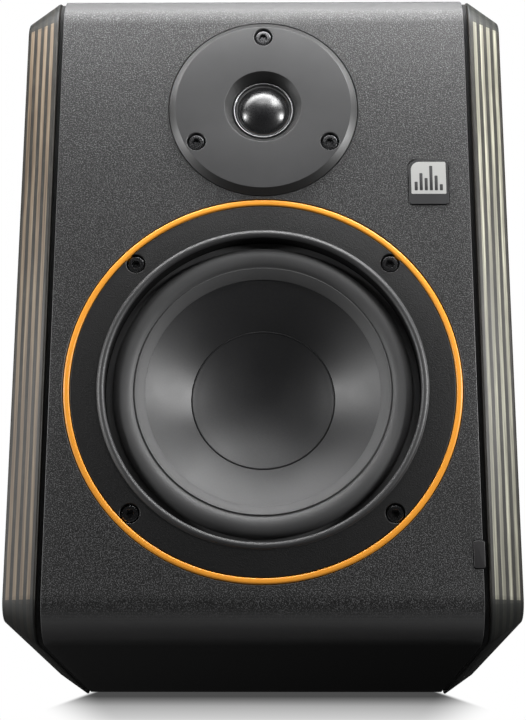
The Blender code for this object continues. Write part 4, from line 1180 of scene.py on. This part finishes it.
class Sheet(Nodes):
    """A level sheet of the stage."""

    def __init__(self, name):
        self.material = bpy.data.materials.new(name)
        self.material.use_nodes = True
        super().__init__(self.material.node_tree)
        self.tree.nodes.remove(self.tree.nodes["Principled BSDF"])
        path = self.add("LightPath").outputs
        self.seen, self.shading = path["Is Camera Ray"], path["Is Shadow Ray"]
        self.from_behind = self.add("NewGeometry").outputs["Backfacing"]
        self.clear = self.shader("BsdfTransparent", 1.0)

    def shader(self, kind, level):
        return self.add(kind, {"Color": grey(level)}).outputs[0]

    def blend(self, share, first, second):
        """The first shader where the share is 0, the second where it is 1."""
        return self.add("MixShader", {0: share, 1: first, 2: second}).outputs[0]

    def lay(self, low, high, level, surface):
        """Make the sheet between two corners, with this shader."""
        self.put(self.tree.nodes["Material Output"].inputs["Surface"], surface)
        (left, front), (right, back) = low, high
        corners = [(left, front, level), (right, front, level), (right, back, level), (left, back, level)]
        mesh = bpy.data.meshes.new(self.material.name)
        mesh.from_pydata(corners, [], [(0, 1, 2, 3)])
        mesh.materials.append(self.material)
        linked(mesh.name, mesh)


def make_floor():
    """A pale floor that fades out round the object, is only seen from above, and casts no shadow."""
    reach, fade_start, fade_end = 3.0, 0.25, 0.60
    sheet = Sheet("floor")
    squares = [sheet.maths("POWER", sheet.maths("ABSOLUTE", sheet.axis(axis)), 2.0) for axis in "XY"]
    away = sheet.maths("SQRT", sheet.maths("ADD", *squares))
    gone = sheet.spread(away, 0.0, 1.0, fade_start, fade_end, smooth=True)
    dark, pale = (sheet.shader("BsdfDiffuse", level) for level in (0.08, 0.80))
    surface = sheet.blend(sheet.seen, dark, pale)
    for share in (sheet.maths("MULTIPLY", gone, sheet.seen), sheet.from_behind, sheet.shading):
        surface = sheet.blend(share, surface, sheet.clear)
    sheet.lay((-reach, -reach), (reach, reach), -0.6 * MM, surface)


def make_shadow():
    """The soft shadow below the back edge, seen through the floor from below."""
    half_width, length = 0.17, 0.20
    side, lean, soft_edge = 0.086, 2.5, 0.012
    side_fade_start, side_fade_end = 0.084, 0.124
    front = WRAP_HIGH.y - 0.004
    start = FRONT + 0.207
    sheet = Sheet("shadow")
    across = sheet.maths("ABSOLUTE", sheet.axis("X"))
    back = sheet.axis("Y")
    side_fade = sheet.spread(across, 1.0, 0.0, side_fade_start, side_fade_end, smooth=True)
    falloff = sheet.ramp(sheet.spread(back, 0.0, 1.0, start, start + length),
                         *((place, grey(dark)) for place, dark in SHADOW_FALLOFF))
    beside = sheet.maths("MULTIPLY", sheet.maths("SUBTRACT", across, side), lean)
    slant = sheet.spread(sheet.maths("SUBTRACT", back, beside), 0.0, 1.0, front, front + soft_edge,
                         smooth=True)
    strength = sheet.maths("MULTIPLY", sheet.maths("MULTIPLY", side_fade, falloff), slant)
    strength = sheet.maths("MULTIPLY", sheet.maths("MULTIPLY", sheet.seen, sheet.from_behind), strength)
    sheet.lay((-half_width, front), (half_width, start + length), -0.3 * MM,
              sheet.blend(strength, sheet.clear, sheet.shader("Emission", 0.0)))


def make_world():
    """White behind the object, soft grey light around it."""
    world = bpy.data.worlds.new("studio")
    bpy.context.scene.world = world
    world.use_nodes = True
    nodes = Nodes(world.node_tree)
    seen = nodes.tree.nodes["Background"]
    nodes.put(seen.inputs["Color"], grey(1.0))
    lit = nodes.add("Background", {"Color": grey(1.0), "Strength": AMBIENT})
    camera_ray = nodes.add("LightPath").outputs["Is Camera Ray"]
    blend = nodes.add("MixShader", {0: camera_ray, 1: lit.outputs[0], 2: seen.outputs[0]})
    nodes.put(nodes.tree.nodes["World Output"].inputs["Surface"], blend.outputs[0])


AMBIENT = 0.003
# how dark the shadow is at shares of its sheet's depth behind the cabinet
SHADOW_FALLOFF = ((0.0, 0.93), (0.095, 0.82), (0.25, 0.60), (0.42, 0.49), (0.60, 0.395), (1.0, 0.0))

# name, place, target, width, height, watts
LIGHTS = (
    ("top_strip", (0.0, -0.16, 0.36), (0.0, -0.10, 0.20), 0.46, 0.07, 0.65),
    ("top_near", (0.0, -0.13, 0.325), (0.0, -0.10, 0.20), 0.36, 0.03, 0.38),
    ("top_right_box", (0.22, -0.36, 0.52), (0.0, -0.10, 0.20), 0.12, 0.12, 0.88),
    ("top_front", (0.0, -0.50, 0.60), (0.0, -0.10, 0.12), 0.30, 0.10, 0.62),
    ("left_box", (-0.50, -0.34, 0.24), (0.0, -0.09, 0.10), 0.10, 0.08, 1.60),
    ("left_side", (-0.50, -0.12, 0.05), (0.0, -0.05, 0.08), 0.14, 0.36, 0.90),
    ("right_box", (0.50, -0.34, 0.24), (0.0, -0.09, 0.10), 0.10, 0.08, 2.75),
    ("underside_fill", (0.0, -0.10, -0.50), (0.0, -0.03, 0.0), 0.40, 0.30, 0.13),
    ("rear_box", (-0.30, 0.80, 0.60), (0.0, 0.10, 0.14), 0.60, 0.60, 4.0),
)


def make_lights():
    """Soft boxes round the object."""
    for name, place, target, width, height, watts in LIGHTS:
        data = bpy.data.lights.new(name, "AREA")
        data.shape = "RECTANGLE"
        data.size = width
        data.size_y = height
        data.energy = watts
        light = linked(name, data)
        light.location = place
        light.rotation_mode = "QUATERNION"
        light.rotation_quaternion = (Vector(target) - Vector(place)).to_track_quat("-Z", "Y")
        light.visible_camera = False


make_wrap()
make_side_panels()
make_seam_strips()
make_back_board()
make_badge()
make_status_window()
make_woofer()
make_woofer_motor()
make_tweeter()
make_tweeter_motor()
make_boards()
make_port()
make_amp_plate()
make_heat_sink()
make_mains_inlet()
make_power_switch()
make_sockets()
make_controls()
make_camera()
make_floor()
make_shadow()
make_world()
make_lights()
bpy.context.scene.view_settings.view_transform = "Standard"
